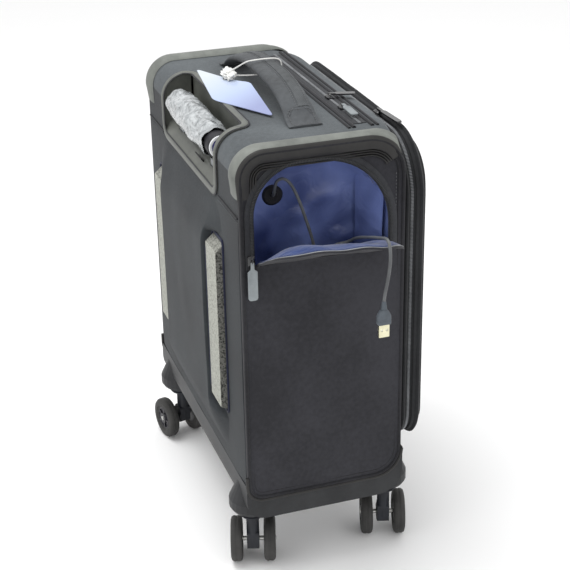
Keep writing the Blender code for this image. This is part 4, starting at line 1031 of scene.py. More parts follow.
def make_front_panel():
    """Front cloth of the lid with a zipped upper pocket and a piped lower pocket."""
    low, high = PANEL_LOW, PANEL_HIGH
    half_x = (high.x - low.x) / 2
    half_z = (high.z - low.z) / 2
    middle = (high.z + low.z) / 2
    rows_front = []
    rows_back = []
    steps = 64
    for i in range(steps + 1):
        z = low.z + (high.z - low.z) * i / steps
        front_row = []
        back_row = []
        for j in range(steps + 1):
            x = low.x + (high.x - low.x) * j / steps
            u = x / half_x
            v = (z - middle) / half_z
            seam = 0.0022 * math.exp(-((z - 0.405) / 0.004) ** 2)
            pocket = pillow(1.02 * u, (z - 0.285) / 0.122) if abs(z - 0.285) < 0.122 else 0.0
            full = 0.0042 * pillow(u, v, 5.0) + 0.0028 * pocket - seam * pillow(u, 0.0)
            drag = 0.0006 * wobble((x, 0.0, 0.6 * z), 18.0, 11.0)
            front_row.append(Vector((x, low.y + 0.0030 - full + drag, z)))
            back_row.append(Vector((x, high.y, z)))
        rows_front.append(front_row)
        rows_back.append(back_row)
    outline = fillet_path([(low.x + 0.001, low.z + 0.001, 0.032), (high.x - 0.001, low.z + 0.001, 0.032),
                           (high.x - 0.001, high.z - 0.001, 0.054), (low.x + 0.001, high.z - 0.001, 0.054)],
                          steps=12)
    border = prism(outline, "Y", low.y - 0.02, high.y + 0.01)
    cloth = carve(slab(rows_front, rows_back), [("INTERSECT", border)])
    panel = make("lid_front_cloth", cloth, LID_CLOTH, "lid", ["lid_front_panel"], smooth=50)
    roll = lift(even(outline, 0.007, closed=True), "Y", high.y - 0.0022)
    make("lid_front_piping", sweep(roll, circle(0, 0, 0.0021, 8), closed=True, side=(0, 1, 0)), BINDING,
         "lid")
    face = low.y - 0.0016
    arch = fillet_path([(-0.150, 0.430, 0.0), (-0.150, 0.478, 0.030), (0.150, 0.478, 0.030),
                        (0.150, 0.430, 0.0)], closed=False, steps=10)
    path = lift(even(arch, 0.005), "Y", face)
    repeat("front_pocket_coil", [(path, False)], TOOTH, COIL_TURN, (0, -1, 0), ZIP_COIL, "lid")
    tape = [(-0.0055, 0.0), (-0.0055, 0.0012), (0.0055, 0.0012), (0.0055, 0.0)]
    path = lift(even(arch, 0.006), "Y", face + 0.0010)
    make("front_pocket_tape", sweep(path, tape, side=(0, -1, 0)), ZIP_TAPE, "lid")
    lower = box_outline(-0.162, 0.162, 0.178, 0.392, 0.028)
    path = lift(even(lower, 0.007, closed=True), "Y", low.y + 0.0004)
    make("front_pocket_piping", sweep(path, circle(0, 0, 0.0018, 8), closed=True, side=(0, 1, 0)), BINDING,
         "lid")


# ---------------------------------------------------------------- corner guards and base
def guard_path(x):
    """Places along a guard and the way out of the case there, from the back over the top to the front."""
    places = []
    for k in range(3):
        height = TOP_Z - BACK_TOP_R - GUARD_BACK_LEG * (1 - k / 3)
        places.append((Vector((HALF_D, height)), Vector((1, 0))))
    corners = ((HALF_D - BACK_TOP_R, BACK_TOP_R, 0, 90),
               (-HALF_D + front_radius(x), front_radius(x), 90, 90 + GUARD_FRONT_TURN))
    for centre_y, radius, first, last in corners:
        for k in range(ARCH_STEPS):
            turn = math.radians(first + (last - first) * k / (ARCH_STEPS - 1))
            normal = Vector((math.cos(turn), math.sin(turn)))
            places.append((Vector((centre_y, TOP_Z - radius)) + normal * radius, normal))
    return places


def guard_skin(sign, section):
    """A guard strip from its section: (how far in from the side, how far out of the surface)."""
    columns = []
    for inward, outward in section:
        path = guard_path(HALF_W - inward)
        column = []
        for k, (at, normal) in enumerate(path):
            # the guard thins and rounds off at both of its ends, and narrows to the front
            reach = min(k, len(path) - 1 - k) / 3
            soft = min(1.0, 0.35 + 0.65 * reach)
            shown = at + normal * (outward * soft if outward > 0 else outward)
            across = inward * soft
            if inward > 0:
                across = inward * (1 - GUARD_TAPER * smooth_step(k / (len(path) - 1)))
            column.append(Vector((sign * (HALF_W - across), *shown)))
        columns.append(column)
    return loft([list(ring) for ring in zip(*columns)])


def make_guards():
    band = [(0.0285, 0.0006), (0.0270, 0.0022), (0.0235, 0.0040), (0.0190, 0.0052), (0.0140, 0.0058),
            (0.0090, 0.0056), (0.0050, 0.0046), (0.0020, 0.0032), (0.0010, 0.0022), (0.0014, 0.0004),
            (0.0150, 0.0008)]
    ridges = [[(0.0012, 0.0028), (-0.0002, 0.0020), (-0.0018, 0.0002), (-0.0028, -0.0030),
               (-0.0034, -0.0062), (-0.0034, -0.0108), (-0.0026, -0.0120), (-0.0002, -0.0122),
               (0.0010, -0.0020), (0.0012, 0.0004)]]
    for start in (-0.0128, -0.0156, -0.0184):
        ridges.append([(-0.0002, start), (-0.0018, start), (-0.0026, start - 0.0006),
                       (-0.0026, start - 0.0014), (-0.0018, start - 0.0020), (-0.0002, start - 0.0021)])
    for sign, name in ((-1, "near"), (1, "far")):
        make(f"guard_band_{name}", guard_skin(sign, band), GUARD_RUBBER, "case",
             [f"corner_guard_{name}"], smooth=50)
        make(f"guard_ridges_{name}", join([guard_skin(sign, r) for r in ridges]), RIDGE_RUBBER, "case",
             smooth=40)


def make_base():
    """Welt along the low corners of both sides, where the cloth meets the moulded base."""
    for sign, name in ((-1, "near"), (1, "far")):
        back_y = HALF_D + 0.001
        low_z = SEAM_Z - 0.001
        outline = fillet_path([(back_y, SEAM_Z + 0.045, 0), (back_y, low_z, BACK_LOW_R),
                               (-back_y, low_z, FRONT_LOW_R), (-back_y, SEAM_Z + 0.045, 0)],
                              closed=False, steps=10)
        path = lift(even(outline, 0.006), "X", sign * (HALF_W + 0.0016))
        path = [p for p in path if p.z < SEAM_Z + 0.034]
        make(f"base_welt_{name}", sweep(path, circle(0, 0, 0.0021, 8), side=(1, 0, 0)), RIDGE_RUBBER, "case")
    finish_nodes(["base_tray"], BASE_PLASTIC)


# ---------------------------------------------------------------- cable pocket
def make_pocket():
    """Gathered satin bag behind the arch, its creases drawn towards the low corners."""
    rim_x = LINER_LOW.x
    floor_x = LINER_HIGH.x - 0.0018
    margin = 0.0012
    inner = []
    outline = even(arch_outline(margin, LINER_LOW.z + 0.002, 0.011), 0.0055, closed=True)
    middle = Vector((0.0, 0.430))
    port = Vector(((PORT_LOW.y + PORT_HIGH.y) / 2, (PORT_LOW.z + PORT_HIGH.z) / 2))

    def crease(y, z, depth):
        fold = math.sin(95 * (y + 0.35 * z) + 4.0 * wobble((0.0, y, z), 14.0, 2.0))
        slump = 0.5 + 0.5 * wobble((0.3, y, z), 24.0, 6.0)
        away = min(1.0, (Vector((y, z)) - port).length / 0.030)
        return (0.0048 * fold * slump + 0.0030 * wobble((0.0, y, z), 55.0, 9.0)) * away * depth

    depth = floor_x - rim_x
    profile = [(0.8 * k / 10, (1 - (0.8 * k / 10) ** 5) ** 0.2) for k in range(11)]
    wide = profile[-1][1]
    for k in range(1, 25):
        shrink = wide * (1 - k / 24.6)
        profile.append(((1 - shrink ** 5) ** 0.2, shrink))
    for into, shrink in profile:
        ring = []
        for p in outline:
            inward = (middle - p).normalized()
            pull = 0.0058 * math.sin(math.pi * min(1.0, into))
            pull *= 0.6 + 0.8 * wobble((4 * into, p.x, p.y), 34.0, 1.0)
            q = middle + (p - middle) * shrink + inward * max(0.0, pull) * min(1.0, 2 * shrink)
            dent = crease(q.x, q.y, smooth_step((into - 0.5) / 0.4))
            ring.append(Vector((rim_x + depth * into - max(0.0, dent), q.x, q.y)))
        inner.append(ring)
    bag = loft(inner, caps=False)
    bmesh.ops.contextual_create(bag, geom=[e for e in bag.edges if e.is_boundary and
                                           max(v.co.x for v in e.verts) > floor_x - 0.012])
    bmesh.ops.recalc_face_normals(bag, faces=bag.faces)
    data = bpy.data.meshes.new("bag")
    bag.to_mesh(data)
    bag.free()
    holder = bpy.data.objects.new("bag", data)
    bpy.context.scene.collection.objects.link(holder)
    thick = holder.modifiers.new("Wall", "SOLIDIFY")
    thick.thickness = 0.0007
    thick.offset = 1.0
    done = bpy.data.meshes.new_from_object(holder.evaluated_get(bpy.context.evaluated_depsgraph_get()))
    bpy.data.objects.remove(holder, do_unlink=True)
    cloth = bmesh.new()
    cloth.from_mesh(done)
    bpy.data.meshes.remove(done)
    bmesh.ops.recalc_face_normals(cloth, faces=cloth.faces)
    make("pocket_lining_bag", cloth, LINING, "case", ["pocket_liner"], smooth=60)
    # a flat inner sleeve sewn along the pocket's front wall
    sleeve = []
    back = []
    for i in range(25):
        z = 0.400 + 0.112 * i / 24
        row = []
        row_back = []
        for j in range(9):
            share = j / 8
            y = -0.0745 + 0.020 * share
            x = -0.1895 + 0.036 * share
            x += 0.0016 * math.sin(9 * share + 60 * z)
            x += 0.0015 * wobble((0, y, z), 60.0)
            row.append(Vector((x, y, z - 0.020 * (1 - share) ** 2)))
            row_back.append(Vector((x + 0.0004, y - 0.0006, z - 0.020 * (1 - share) ** 2)))
        sleeve.append(row)
        back.append(row_back)
    make("pocket_inner_sleeve", slab(sleeve, back), LINING, "case", smooth=60)
    backing = prism(circle(port.x, port.y, 0.0062, 28), "X", PORT_LOW.x + 0.0008, PORT_LOW.x + 0.0016)
    make("cable_port_backing", backing, PORT_RUBBER, "case")
    finish_nodes(["cable_port"], PORT_RUBBER)


def make_arch_zip():
    """Coil and tape round the pocket's arch, on the side cloth."""
    arch = fillet_path([(ARCH_BACK_Y + 0.003, ARCH_LOW_Z - 0.003, 0.0),
                        (ARCH_BACK_Y + 0.003, ARCH_TOP_Z + 0.003, ARCH_BACK_R + 0.003),
                        (ARCH_FRONT_Y - 0.003, ARCH_TOP_Z + 0.003, ARCH_FRONT_R + 0.003),
                        (ARCH_FRONT_Y - 0.003, ARCH_LOW_Z - 0.003, 0.0)], closed=False, steps=14)
    path = lift(even(arch, 0.004), "X", -HALF_W - 0.0008)
    tape = [(-0.0055, -0.0010), (-0.0055, 0.0008), (0.0050, 0.0008), (0.0050, -0.0010)]
    make("arch_zip_tape", sweep(path, tape, side=(-1, 0, 0)), ZIP_TAPE, "case")
    rim = fillet_path([(ARCH_BACK_Y + 0.0002, ARCH_LOW_Z, 0.0),
                       (ARCH_BACK_Y + 0.0002, ARCH_TOP_Z + 0.0002, ARCH_BACK_R),
                       (ARCH_FRONT_Y - 0.0002, ARCH_TOP_Z + 0.0002, ARCH_FRONT_R),
                       (ARCH_FRONT_Y - 0.0002, ARCH_LOW_Z, 0.0)], closed=False, steps=14)
    coil = lift(even(rim, 0.003), "X", -HALF_W - 0.0016)
    make("arch_zip_cord", sweep(coil, circle(0, 0, 0.0009, 8), side=(-1, 0, 0)), BINDING, "case")
    teeth = [p + Vector((-0.0002, 0, 0)) for p in coil]
    repeat("arch_zip_coil", [(teeth, False)], TOOTH, COIL_TURN, (-1, 0, 0), DARK_COIL, "case")


def swung(point):
    """A point drawn with the flap closed, moved to the flap's place when it hangs open."""
    hinge = Vector((-HALF_W, 0.0, ARCH_LOW_Z))
    return hinge + Matrix.Rotation(-FLAP_OPEN, 3, "Y") @ (Vector(point) - hinge)


def make_flap():
    """The open pocket cover: dark cloth outside, blue satin inside, zip edge round it."""
    def wave(y, height):
        return (0.0016 * math.sin(52 * y + 1.2) * (0.3 + height) + 0.0010 * math.sin(120 * y + 3 * height)
                + 0.0008 * wobble((0.0, y, height * 0.1), 40.0, 4.0)
                + 0.0110 * height * max(0.0, min(1.0, (y + 0.005) / 0.085)) ** 1.5
                - 0.0060 * height * max(0.0, min(1.0, (-0.046 - y) / 0.034)) ** 1.2)

    def crown(y):
        return (0.0048 + 0.0058 * math.exp(-((y - 0.045) / 0.025) ** 2)
                + 0.0030 * math.exp(-((y + 0.066) / 0.013) ** 2))

    def outline(margin):
        return fillet_path([(FLAP_BACK_Y - margin, FLAP_LOW_Z, 0.0),
                            (FLAP_BACK_Y - margin, FLAP_TOP_Z - margin, 0.0530 - margin),
                            (FLAP_FRONT_Y + margin, FLAP_TOP_Z - margin, 0.0780 - margin),
                            (FLAP_FRONT_Y + margin, FLAP_LOW_Z, 0.0)], steps=12)

    def pad(margin, low_x, high_x, fullness=0.0):
        rings = 18
        centre = Vector((0.0, 0.424))
        points = even(outline(margin), 0.005, closed=True)
        layers = []
        for x, first, last in ((low_x, 1, rings), (high_x, rings, 1)):
            order = range(first, last + 1) if first < last else range(first, last - 1, -1)
            for k in order:
                share = k / rings
                row = []
                for p in points:
                    q = centre + (p - centre) * share
                    height = max(0.0, (q.y - FLAP_LOW_Z) / FLAP_TALL)
                    offset = wave(q.x, height) * min(1.0, height * 4.0)
                    if x == high_x:
                        offset += fullness * crown(q.x) * (1 - share ** 5) * smooth_step(height * 3.2)
                    row.append(swung((x + offset, q.x, q.y)))
                layers.append(row)
        return loft(layers)

    outer = pad(0.0, -0.2000, -0.1978)
    make("flap_cloth", outer, SIDE_CLOTH, "flap", ["pocket_flap"], smooth=60)
    inner = pad(0.0035, -0.1976, -0.1955, 1.0)
    make("flap_satin", inner, FLAP_LINING, "flap", smooth=60)
    rim = [p for p in even(outline(0.0015), 0.003, closed=True)]
    start = min(range(len(rim)), key=lambda k: (rim[k] - Vector((0.0795, 0.4200))).length)
    rim = rim[start:] + rim[:start]
    rim = [p for p in rim if p.y > 0.423]
    line = []
    for p in rim:
        height = (p.y - FLAP_LOW_Z) / FLAP_TALL
        line.append(swung((-0.1982 + wave(p.x, height) * min(1.0, height * 4.0), p.x, p.y)))
    make("flap_zip_cord", sweep(line, circle(0, 0, 0.0014, 8)), ZIP_COIL, "flap")


def make_flap_hinge():
    """Cloth fold where the flap joins the side."""
    rows_front = []
    rows_back = []
    for i in range(9):
        share = i / 8
        closed = Vector((-HALF_W - 0.0006, 0.0, ARCH_LOW_Z - 0.010 + 0.022 * share))
        turn = max(0.0, min(1.0, (share - 0.35) / 0.3))
        hinge = Vector((-HALF_W, 0.0, ARCH_LOW_Z))
        point = hinge + Matrix.Rotation(-FLAP_OPEN * turn, 3, "Y") @ (closed - hinge)
        front_row = []
        back_row = []
        for j in range(41):
            y = 0.0790 - 0.1585 * j / 40
            sag = 0.0008 * math.sin(40 * y)
            front_row.append(Vector((point.x, y, point.z + sag)))
            back_row.append(Vector((point.x + 0.0005, y, point.z + sag + 0.0005)))
        rows_front.append(front_row)
        rows_back.append(back_row)
    fold = make("flap_hinge_fold", slab(rows_front, rows_back), SIDE_CLOTH, None, smooth=60)
    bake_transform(fold)


# ---------------------------------------------------------------- cable and plug
def make_cable():
    """The cable in two lengths, meeting on the flap, with the plug on the hanging end."""
    first, path = cord_mesh(POCKET_ROUTE, CABLE_D)
    lead = make("cable_in_pocket", first, CABLE_RUBBER, None, ["cable_pocket"])
    path = [p + CENTRE for p in path]
    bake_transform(lead)
    second, path = cord_mesh(FLAP_ROUTE, CABLE_D)
    tail = make("cable_over_flap", second, CABLE_RUBBER, None, ["cable_flap", "cable_drop"])
    path = [p + CENTRE for p in path]
    pieces = make_plug()
    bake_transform(tail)


def make_plug():
    low, high = case_box("plug_relief")
    x = (low.x + high.x) / 2
    y = (low.y + high.y) / 2
    rings = []
    count = 15
    for k in range(count):
        share = k / (count - 1)
        radius = 0.0020 + 0.0012 * share + (0.0004 if k % 2 else 0.0)
        rings.append(lift(circle(x, y, radius, 16), "Z", high.z + (low.z - high.z) * share))
    relief = make("plug_ribbed_relief", loft(rings), PLUG_PLASTIC, "cable_end", ["plug_relief"])
    low, high = case_box("plug_overmould")
    rings = []
    for drop, deep, wide in ((0.0, 0.0050, 0.0066), (0.0008, 0.0064, 0.0084), (0.003, 0.0072, 0.0112),
                             (0.0058, 0.0079, 0.0142), (0.0085, 0.0082, 0.0156), (0.0100, 0.0076, 0.0150),
                             (0.0106, 0.0082, 0.0158), (0.0118, 0.0082, 0.0158), (0.0124, 0.0076, 0.0150),
                             (0.0130, 0.0082, 0.0158), (0.0166, 0.0081, 0.0156), (0.0172, 0.0074, 0.0148)):
        outline = box_outline(x - deep / 2, x + deep / 2, y - wide / 2, y + wide / 2, 0.0024, 5)
        rings.append(lift(outline, "Z", high.z - drop))
    body = make("plug_grip", loft(rings), PLUG_PLASTIC, "cable_end", ["plug_overmould"])
    low, high = case_box("plug_shell")
    half_x = (high.x - low.x) / 2
    half_y = (high.y - low.y) / 2
    outer = box_outline(x - half_x, x + half_x, y - half_y, y + half_y, 0.0007, 3)
    inner = box_outline(x - half_x + 0.0003, x + half_x - 0.0003, y - half_y + 0.0003, y + half_y - 0.0003,
                        0.0005, 3)
    shell = loft([lift(outer, "Z", high.z), lift(outer, "Z", low.z), lift(inner, "Z", low.z),
                  lift(inner, "Z", high.z - 0.003)])
    windows = []
    for side in (-0.0029, 0.0029):
        square = box_outline(y + side - 0.0013, y + side + 0.0013, high.z - 0.0078, high.z - 0.0054,
                             0.0003, 2)
        windows.append(("DIFFERENCE", prism(square, "X", x - 0.006, x + 0.006)))
    shell = carve(shell, windows)
    tip = make("plug_metal_shell", shell, PLUG_STEEL, "cable_end", ["plug_shell"], smooth=30)
    tongue = prism(box_outline(x - 0.0016, x - 0.0001, y - 0.0053, y + 0.0053, 0.0002, 2), "Z",
                   low.z + 0.0006, high.z - 0.0032)
    tongue_piece = make("plug_tongue", tongue, TONGUE_PLASTIC, "cable_end")
    strips = []
    for k in range(4):
        at = y - 0.0036 + 0.0024 * k
        strips.append(prism(box_outline(at - 0.0006, at + 0.0006, low.z + 0.0016, low.z + 0.0090, 0.0), "X",
                            x - 0.0001, x + 0.0001))
    contacts = make("plug_contacts", join(strips), CONTACT_GOLD, "cable_end")
    return [relief, body, tip, tongue_piece, contacts]


# ---------------------------------------------------------------- telescopic handle
def make_handle():
    finish_nodes(["handle_bezel"], BEZEL_PLASTIC)
    finish_nodes(["outer_tube_near", "outer_tube_far"], DARK_ALUMINIUM)
    finish_nodes(["mid_tube_near", "mid_tube_far", "inner_tube_near", "inner_tube_far"], TUBE_ALUMINIUM)
    finish_nodes(["grip", "grip_button"], GRIP_PLASTIC)
    # rounded rim round the recess, over the top edge and down the back
    half = BEZEL_HIGH.x - 0.0035
    front = BEZEL_LOW.y + 0.0030
    corner = 0.015
    over = fillet_path([(front + corner, BEZEL_HIGH.z, 0), (BEZEL_HIGH.y, BEZEL_HIGH.z, BACK_TOP_R),
                        (BEZEL_HIGH.y, BEZEL_LOW.z + corner, 0)], closed=False, steps=10)
    side = [Vector((half, y, z)) for y, z in over]
    turn = [Vector((half - corner + corner * math.cos(math.pi / 2 * k / 6),
                    front + corner - corner * math.sin(math.pi / 2 * k / 6), BEZEL_HIGH.z)) for k in range(7)]
    fall = [Vector((half - corner + corner * math.cos(math.pi / 2 * k / 6), BEZEL_HIGH.y,
                    BEZEL_LOW.z + 0.003 + corner - corner * math.sin(math.pi / 2 * k / 6))) for k in range(7)]
    right = turn[::-1] + side[1:-1] + fall
    left = [Vector((-p.x, p.y, p.z)) for p in right][::-1]
    path = even(right + left, 0.005, closed=True)
    rings = []
    gap_shade = []
    for k, here in enumerate(path):
        along = (path[(k + 1) % len(path)] - path[k - 1]).normalized()
        # outward direction of the case's top, rounding or back at this place
        centre = Vector((here.x, HALF_D - BACK_TOP_R, TOP_Z - BACK_TOP_R))
        out = Vector((0, max(0.0, here.y - centre.y), max(0.0, here.z - centre.z)))
        out = out.normalized() if out.length > 1e-6 else Vector((0, 0, 1))
        out = (out - along * out.dot(along)).normalized()
        across = along.cross(out)
        rings.append([here + across * 0.0042 * math.cos(2 * math.pi * j / 12)
                      + out * (0.0016 * math.sin(2 * math.pi * j / 12) + 0.0002) for j in range(12)])
        gap_shade.append([here + across * 0.0060 * math.cos(2 * math.pi * j / 12)
                       + out * (0.0007 * math.sin(2 * math.pi * j / 12) + 0.0003) for j in range(12)])
    # near-black ring, wider than the rim and laid under it: painted shade for the gap between the rim and the
    # cloth
    make("handle_rim_groove", loft(gap_shade, wrap=True), BINDING, "case", smooth=60)
    rim = loft(rings, wrap=True)
    make("handle_rim", rim, BEZEL_PLASTIC, "case", smooth=60)
    clip = bmesh.new()
    bmesh.ops.create_cube(clip, size=1.0)
    bmesh.ops.scale(clip, vec=(0.026, 0.0016, 0.013), verts=clip.verts)
    bmesh.ops.bevel(clip, geom=clip.edges[:], offset=0.0005, segments=2, affect="EDGES")
    bmesh.ops.rotate(clip, verts=clip.verts, matrix=Matrix.Rotation(math.radians(-36), 3, "X"))
    bmesh.ops.translate(clip, verts=clip.verts, vec=(-0.030, 0.0915, 0.4885))
    make("handle_recess_clip", clip, PORT_RUBBER, "case")
    make_film()


def make_film():
    """Film wound round the grip, with the dark sleeve, white ring and violet disc at its near end."""
    middle_y = (GRIP_LOW.y + GRIP_HIGH.y) / 2
    middle_z = (GRIP_LOW.z + GRIP_HIGH.z) / 2
    start = GRIP_LOW.x + 0.016
    finish = GRIP_HIGH.x - 0.014
    outer = []
    inner = []
    rows = 56
    sides = 44
    for i in range(rows + 1):
        share = i / rows
        x = start + (finish - start) * share
        swell = 0.0026 + 0.0014 * math.sin(math.pi * share)
        ring = []
        back = []
        for j in range(sides):
            turn = 2 * math.pi * j / sides
            around = Vector((0.0, math.cos(turn), math.sin(turn)))
            spot = Vector((x, 0.03 * math.cos(turn), 0.03 * math.sin(turn)))
            fold = 0.0016 * wobble(spot, 70.0, 2.0) + 0.0012 * abs(wobble(spot, 160.0, 7.0))
            twist = 0.0008 * math.sin(5 * turn + 90 * x)
            radius = FILM_R + swell + fold + twist
            under = radius - FILM_WALL
            ring.append(Vector((x, middle_y + around.y * radius, middle_z + around.z * radius)))
            back.append(Vector((x, middle_y + around.y * under, middle_z + around.z * under)))
        outer.append(ring)
        inner.append(back)
    film = make("grip_film", loft(outer + inner[::-1], wrap=True), FILM, "handle_grip",
                smooth=25)
    end = GRIP_LOW.x - 0.0006
    sleeve = ((-0.0002, 0.0116), (0.0, 0.0142), (0.0012, 0.0148), (0.0172, 0.0146), (0.0196, 0.0136),
              (0.0196, 0.0116))
    ring = ((-0.0006, 0.0098), (0.0004, 0.0096), (0.0004, 0.0128), (-0.0004, 0.0136), (-0.0012, 0.0128),
            (-0.0012, 0.0104))
    disc = ((-0.0009, 0.0002), (-0.0009, 0.0090), (-0.0004, 0.0099), (0.0003, 0.0099), (0.0003, 0.0002))
    pieces = (("grip_end_sleeve", GRIP_PLASTIC, sleeve), ("grip_end_ring", WHITE_RING, ring),
              ("grip_end_disc", VIOLET_DISC, disc))
    for name, look, profile in pieces:
        turned = lathe(list(profile), 44)
        bmesh.ops.translate(turned, verts=turned.verts, vec=(end, middle_y, middle_z))
        make(name, turned, look, "handle_grip")


# ---------------------------------------------------------------- carry handle and tag
CARRY_LOW, CARRY_HIGH = case_box("carry_handle")
CARRY_HALF = (CARRY_HIGH.x - CARRY_LOW.x) / 2 - 0.002
CARRY_Y = (CARRY_LOW.y + CARRY_HIGH.y) / 2
CARRY_BASE = TOP_Z + 0.0036
CARRY_RISE = 0.021
CARRY_WIDE = 0.034
CARRY_THICK = 0.0115
PATCH_HALF = 0.0145


def carry_rise(share):
    return CARRY_RISE * (1 - min(1.0, abs(share)) ** 2.6) ** 0.75


def carry_frame(share):
    """Middle of the underside, its up direction, and the thickness and width there."""
    step = 0.02
    side = math.copysign(1.0, share)
    past = max(0.0, abs(share) - 1.0) / 0.185
    if abs(share) < 0.98:
        climb = carry_rise(share + step) - carry_rise(share - step)
        slope = math.atan2(climb, 2 * step * CARRY_HALF)
    else:
        slope = -side * math.radians(34) * (1 - smooth_step(past * 2.2))
    thick = CARRY_THICK * (0.45 + 0.55 * (1 - min(1.0, abs(share)) ** 4)) * (1 - 0.55 * smooth_step(past))
    wide = CARRY_WIDE * (1.0 + 0.12 * min(1.0, abs(share)) ** 4 + 0.05 * smooth_step(past))
    up = Vector((-math.sin(slope), 0.0, math.cos(slope)))
    low = Vector((share * CARRY_HALF, CARRY_Y, CARRY_BASE + carry_rise(share)))
    low.z -= (CARRY_BASE - TOP_Z - 0.0002) * smooth_step(past * 1.5)
    return low + up * 0.0002, up, thick, wide


def make_carry_handle():
    """Padded grip sewn flat to the top at both ends, with ribbed webbing over its front half."""
    rings = []
    reach = 1.185
    shares = [-reach + 2 * reach * k / 64 for k in range(65)]
    for share in shares:
        low, up, thick, wide = carry_frame(share)
        ring = []
        for k in range(28):
            turn = 2 * math.pi * k / 28
            u = math.copysign(abs(math.cos(turn)) ** 0.62, math.cos(turn)) * wide / 2
            v = math.copysign(abs(math.sin(turn)) ** 0.75, math.sin(turn)) * thick / 2
            ripple = 0.00035 * wobble((3 * share, u * 20, v * 20), 3.0)
            ring.append(low + up * (thick / 2 + v * (1 + ripple * 60)) + Vector((0, u, 0)))
        rings.append(ring)
    grip = make("carry_handle_cover", loft(rings), HANDLE_CLOTH, "case",
                ["carry_handle", "handle_anchor_near", "handle_anchor_far"], smooth=60)
    section = ((-0.0160, -0.0036), (-0.0163, -0.0022), (-0.0132, -0.0002), (-0.0080, 0.0007),
               (-0.0008, 0.0009), (-0.0003, -0.0002), (-0.0008, -0.0008), (-0.0080, -0.0012),
               (-0.0130, -0.0024))
    middle = [share for share in shares if abs(share) < 0.93]
    rings = []
    for share in middle:
        low, up, thick, _ = carry_frame(share)
        rings.append([low + up * (thick + v) + Vector((0, u, 0)) for u, v in section])
    make("carry_handle_webbing", loft(rings), WEBBING, "case")
    seams = []
    for side in (0.0014, -0.0130):
        line = []
        for share in middle:
            low, up, thick, _ = carry_frame(share)
            line.append(low + up * (thick + (0.0 if side > 0 else -0.0001)) + Vector((0, side, 0)))
        seams.append((line, False))
    for side in (-1, 1):
        patch = box_outline(0.112, 0.1375, -PATCH_HALF, PATCH_HALF, 0.004)
        arch = []
        for k in range(17):
            v = PATCH_HALF * k / 8 - PATCH_HALF
            arch.append(Vector((0.1085 + 0.010 * (v / PATCH_HALF) ** 2, v)))
        for outline, closed in ((even(patch, 0.003, closed=True), True), (arch, False)):
            line = []
            for p in outline:
                low, up, thick, wide = carry_frame(side * p.x / CARRY_HALF)
                line.append(low + up * (thick * 0.98) + Vector((0, p.y, 0)))
            seams.append((line, closed))
    repeat("carry_handle_stitches", seams, STITCH, HANDLE_STITCH_STEP, (0, 0, 1), SEWING_THREAD, "case")


def tag_point(u, v, rise=0.0):
    """A place on the bent tag card; u runs along its short edges and v along its long ones."""
    near_u = max(0.10, min(0.90, u))
    near_v = max(0.06, min(0.94, v))
    du, dv = (u - near_u) / 0.10, (v - near_v) / 0.06
    if abs(du) > 1e-6 and abs(dv) > 1e-6:
        # round the card's corners
        pull = max(abs(du), abs(dv)) / math.hypot(du, dv)
        u, v = near_u + 0.10 * du * pull, near_v + 0.06 * dv * pull
    low_left, low_right, top_right, top_left = [Vector(p) for p in TAG_CORNERS]
    low = low_left.lerp(low_right, u)
    high = top_left.lerp(top_right, u)
    point = low.lerp(high, v)
    curl = 0.0050 * max(0.0, u - 0.55) ** 2 * max(0.0, v) * 4
    sway = 0.0010 * math.sin(math.pi * u) * math.sin(math.pi * v)
    return point + Vector((0, 0, 0.0004 + curl + sway + rise))


def make_tag():
    steps = 20
    top = [[tag_point(j / steps, i / steps, 0.0006) for j in range(steps + 1)] for i in range(steps + 1)]
    under = [[tag_point(j / steps, i / steps) for j in range(steps + 1)] for i in range(steps + 1)]
    make("tag_card_sheet", slab(top, under), CARD, "case", ["hang_tag"], smooth=50)
    eye = tag_point(0.52, 0.93, 0.0008)
    rings = []
    for k in range(24):
        turn = 2 * math.pi * k / 24
        out = Vector((math.cos(turn), math.sin(turn), 0))
        rings.append([eye + out * (0.0021 + 0.0007 * math.cos(2 * math.pi * j / 8))
                      + Vector((0, 0, 0.0005 * math.sin(2 * math.pi * j / 8))) for j in range(8)])
    make("tag_eyelet", loft(rings, wrap=True), AXLE_STEEL, "case")
    string, path = cord_mesh(STRING_ROUTE, STRING_D, 8, 0.0025)
    elastic = make("tag_elastic_loop", string, ELASTIC, "case", ["tag_string"])
    path = [p + CENTRE for p in path]
    knot_at = (Vector(STRING_ROUTE[0]) + Vector(STRING_ROUTE[-1])) / 2
    knot = bmesh.new()
    bmesh.ops.create_icosphere(knot, subdivisions=4, radius=1.0)
    for vert in knot.verts:
        way = vert.co.copy()
        size = 1.0 + 0.40 * wobble(way, 2.2, 3.0) + 0.34 * wobble(way, 5.1, 8.0)
        vert.co = knot_at + Vector((way.x * 0.0140, way.y * 0.0078, way.z * 0.0060)) * size
    knot_piece = make("tag_knot", knot, ELASTIC, "case", smooth=70)


# ---------------------------------------------------------------- zip sliders and pullers
def rounded_plate(along, flat, start, length, width, thick, neck=0.3):
    """Puller: narrow neck, rounded plate, and a sunken panel on both faces."""
    along = Vector(along).normalized()
    flat = Vector(flat).normalized()
    across = flat.cross(along)
    outline = fillet_path([(0.0, -0.0019, 0.0010), (neck * length * 0.8, -0.0021, 0.002),
                           (neck * length, -width / 2, 0.0020), (length, -width / 2, 0.0034),
                           (length, width / 2, 0.0034), (neck * length, width / 2, 0.0020),
                           (neck * length * 0.8, 0.0021, 0.002), (0.0, 0.0019, 0.0010)], steps=4)
    middle = Vector((length * (1 + neck) / 2, 0.0))
    rings = []
    for level, shrink in ((-0.62, 0.50), (-0.62, 0.62), (-1.0, 0.70), (-1.0, 0.90), (-0.6, 1.0), (0.6, 1.0),
                          (1.0, 0.90), (1.0, 0.70), (0.62, 0.62), (0.62, 0.50)):
        ring = []
        for p in outline:
            q = middle + (p - middle) * shrink
            ring.append(Vector(start) + along * q.x + across * q.y + flat * level * thick / 2)
        rings.append(ring)
    return loft(rings)


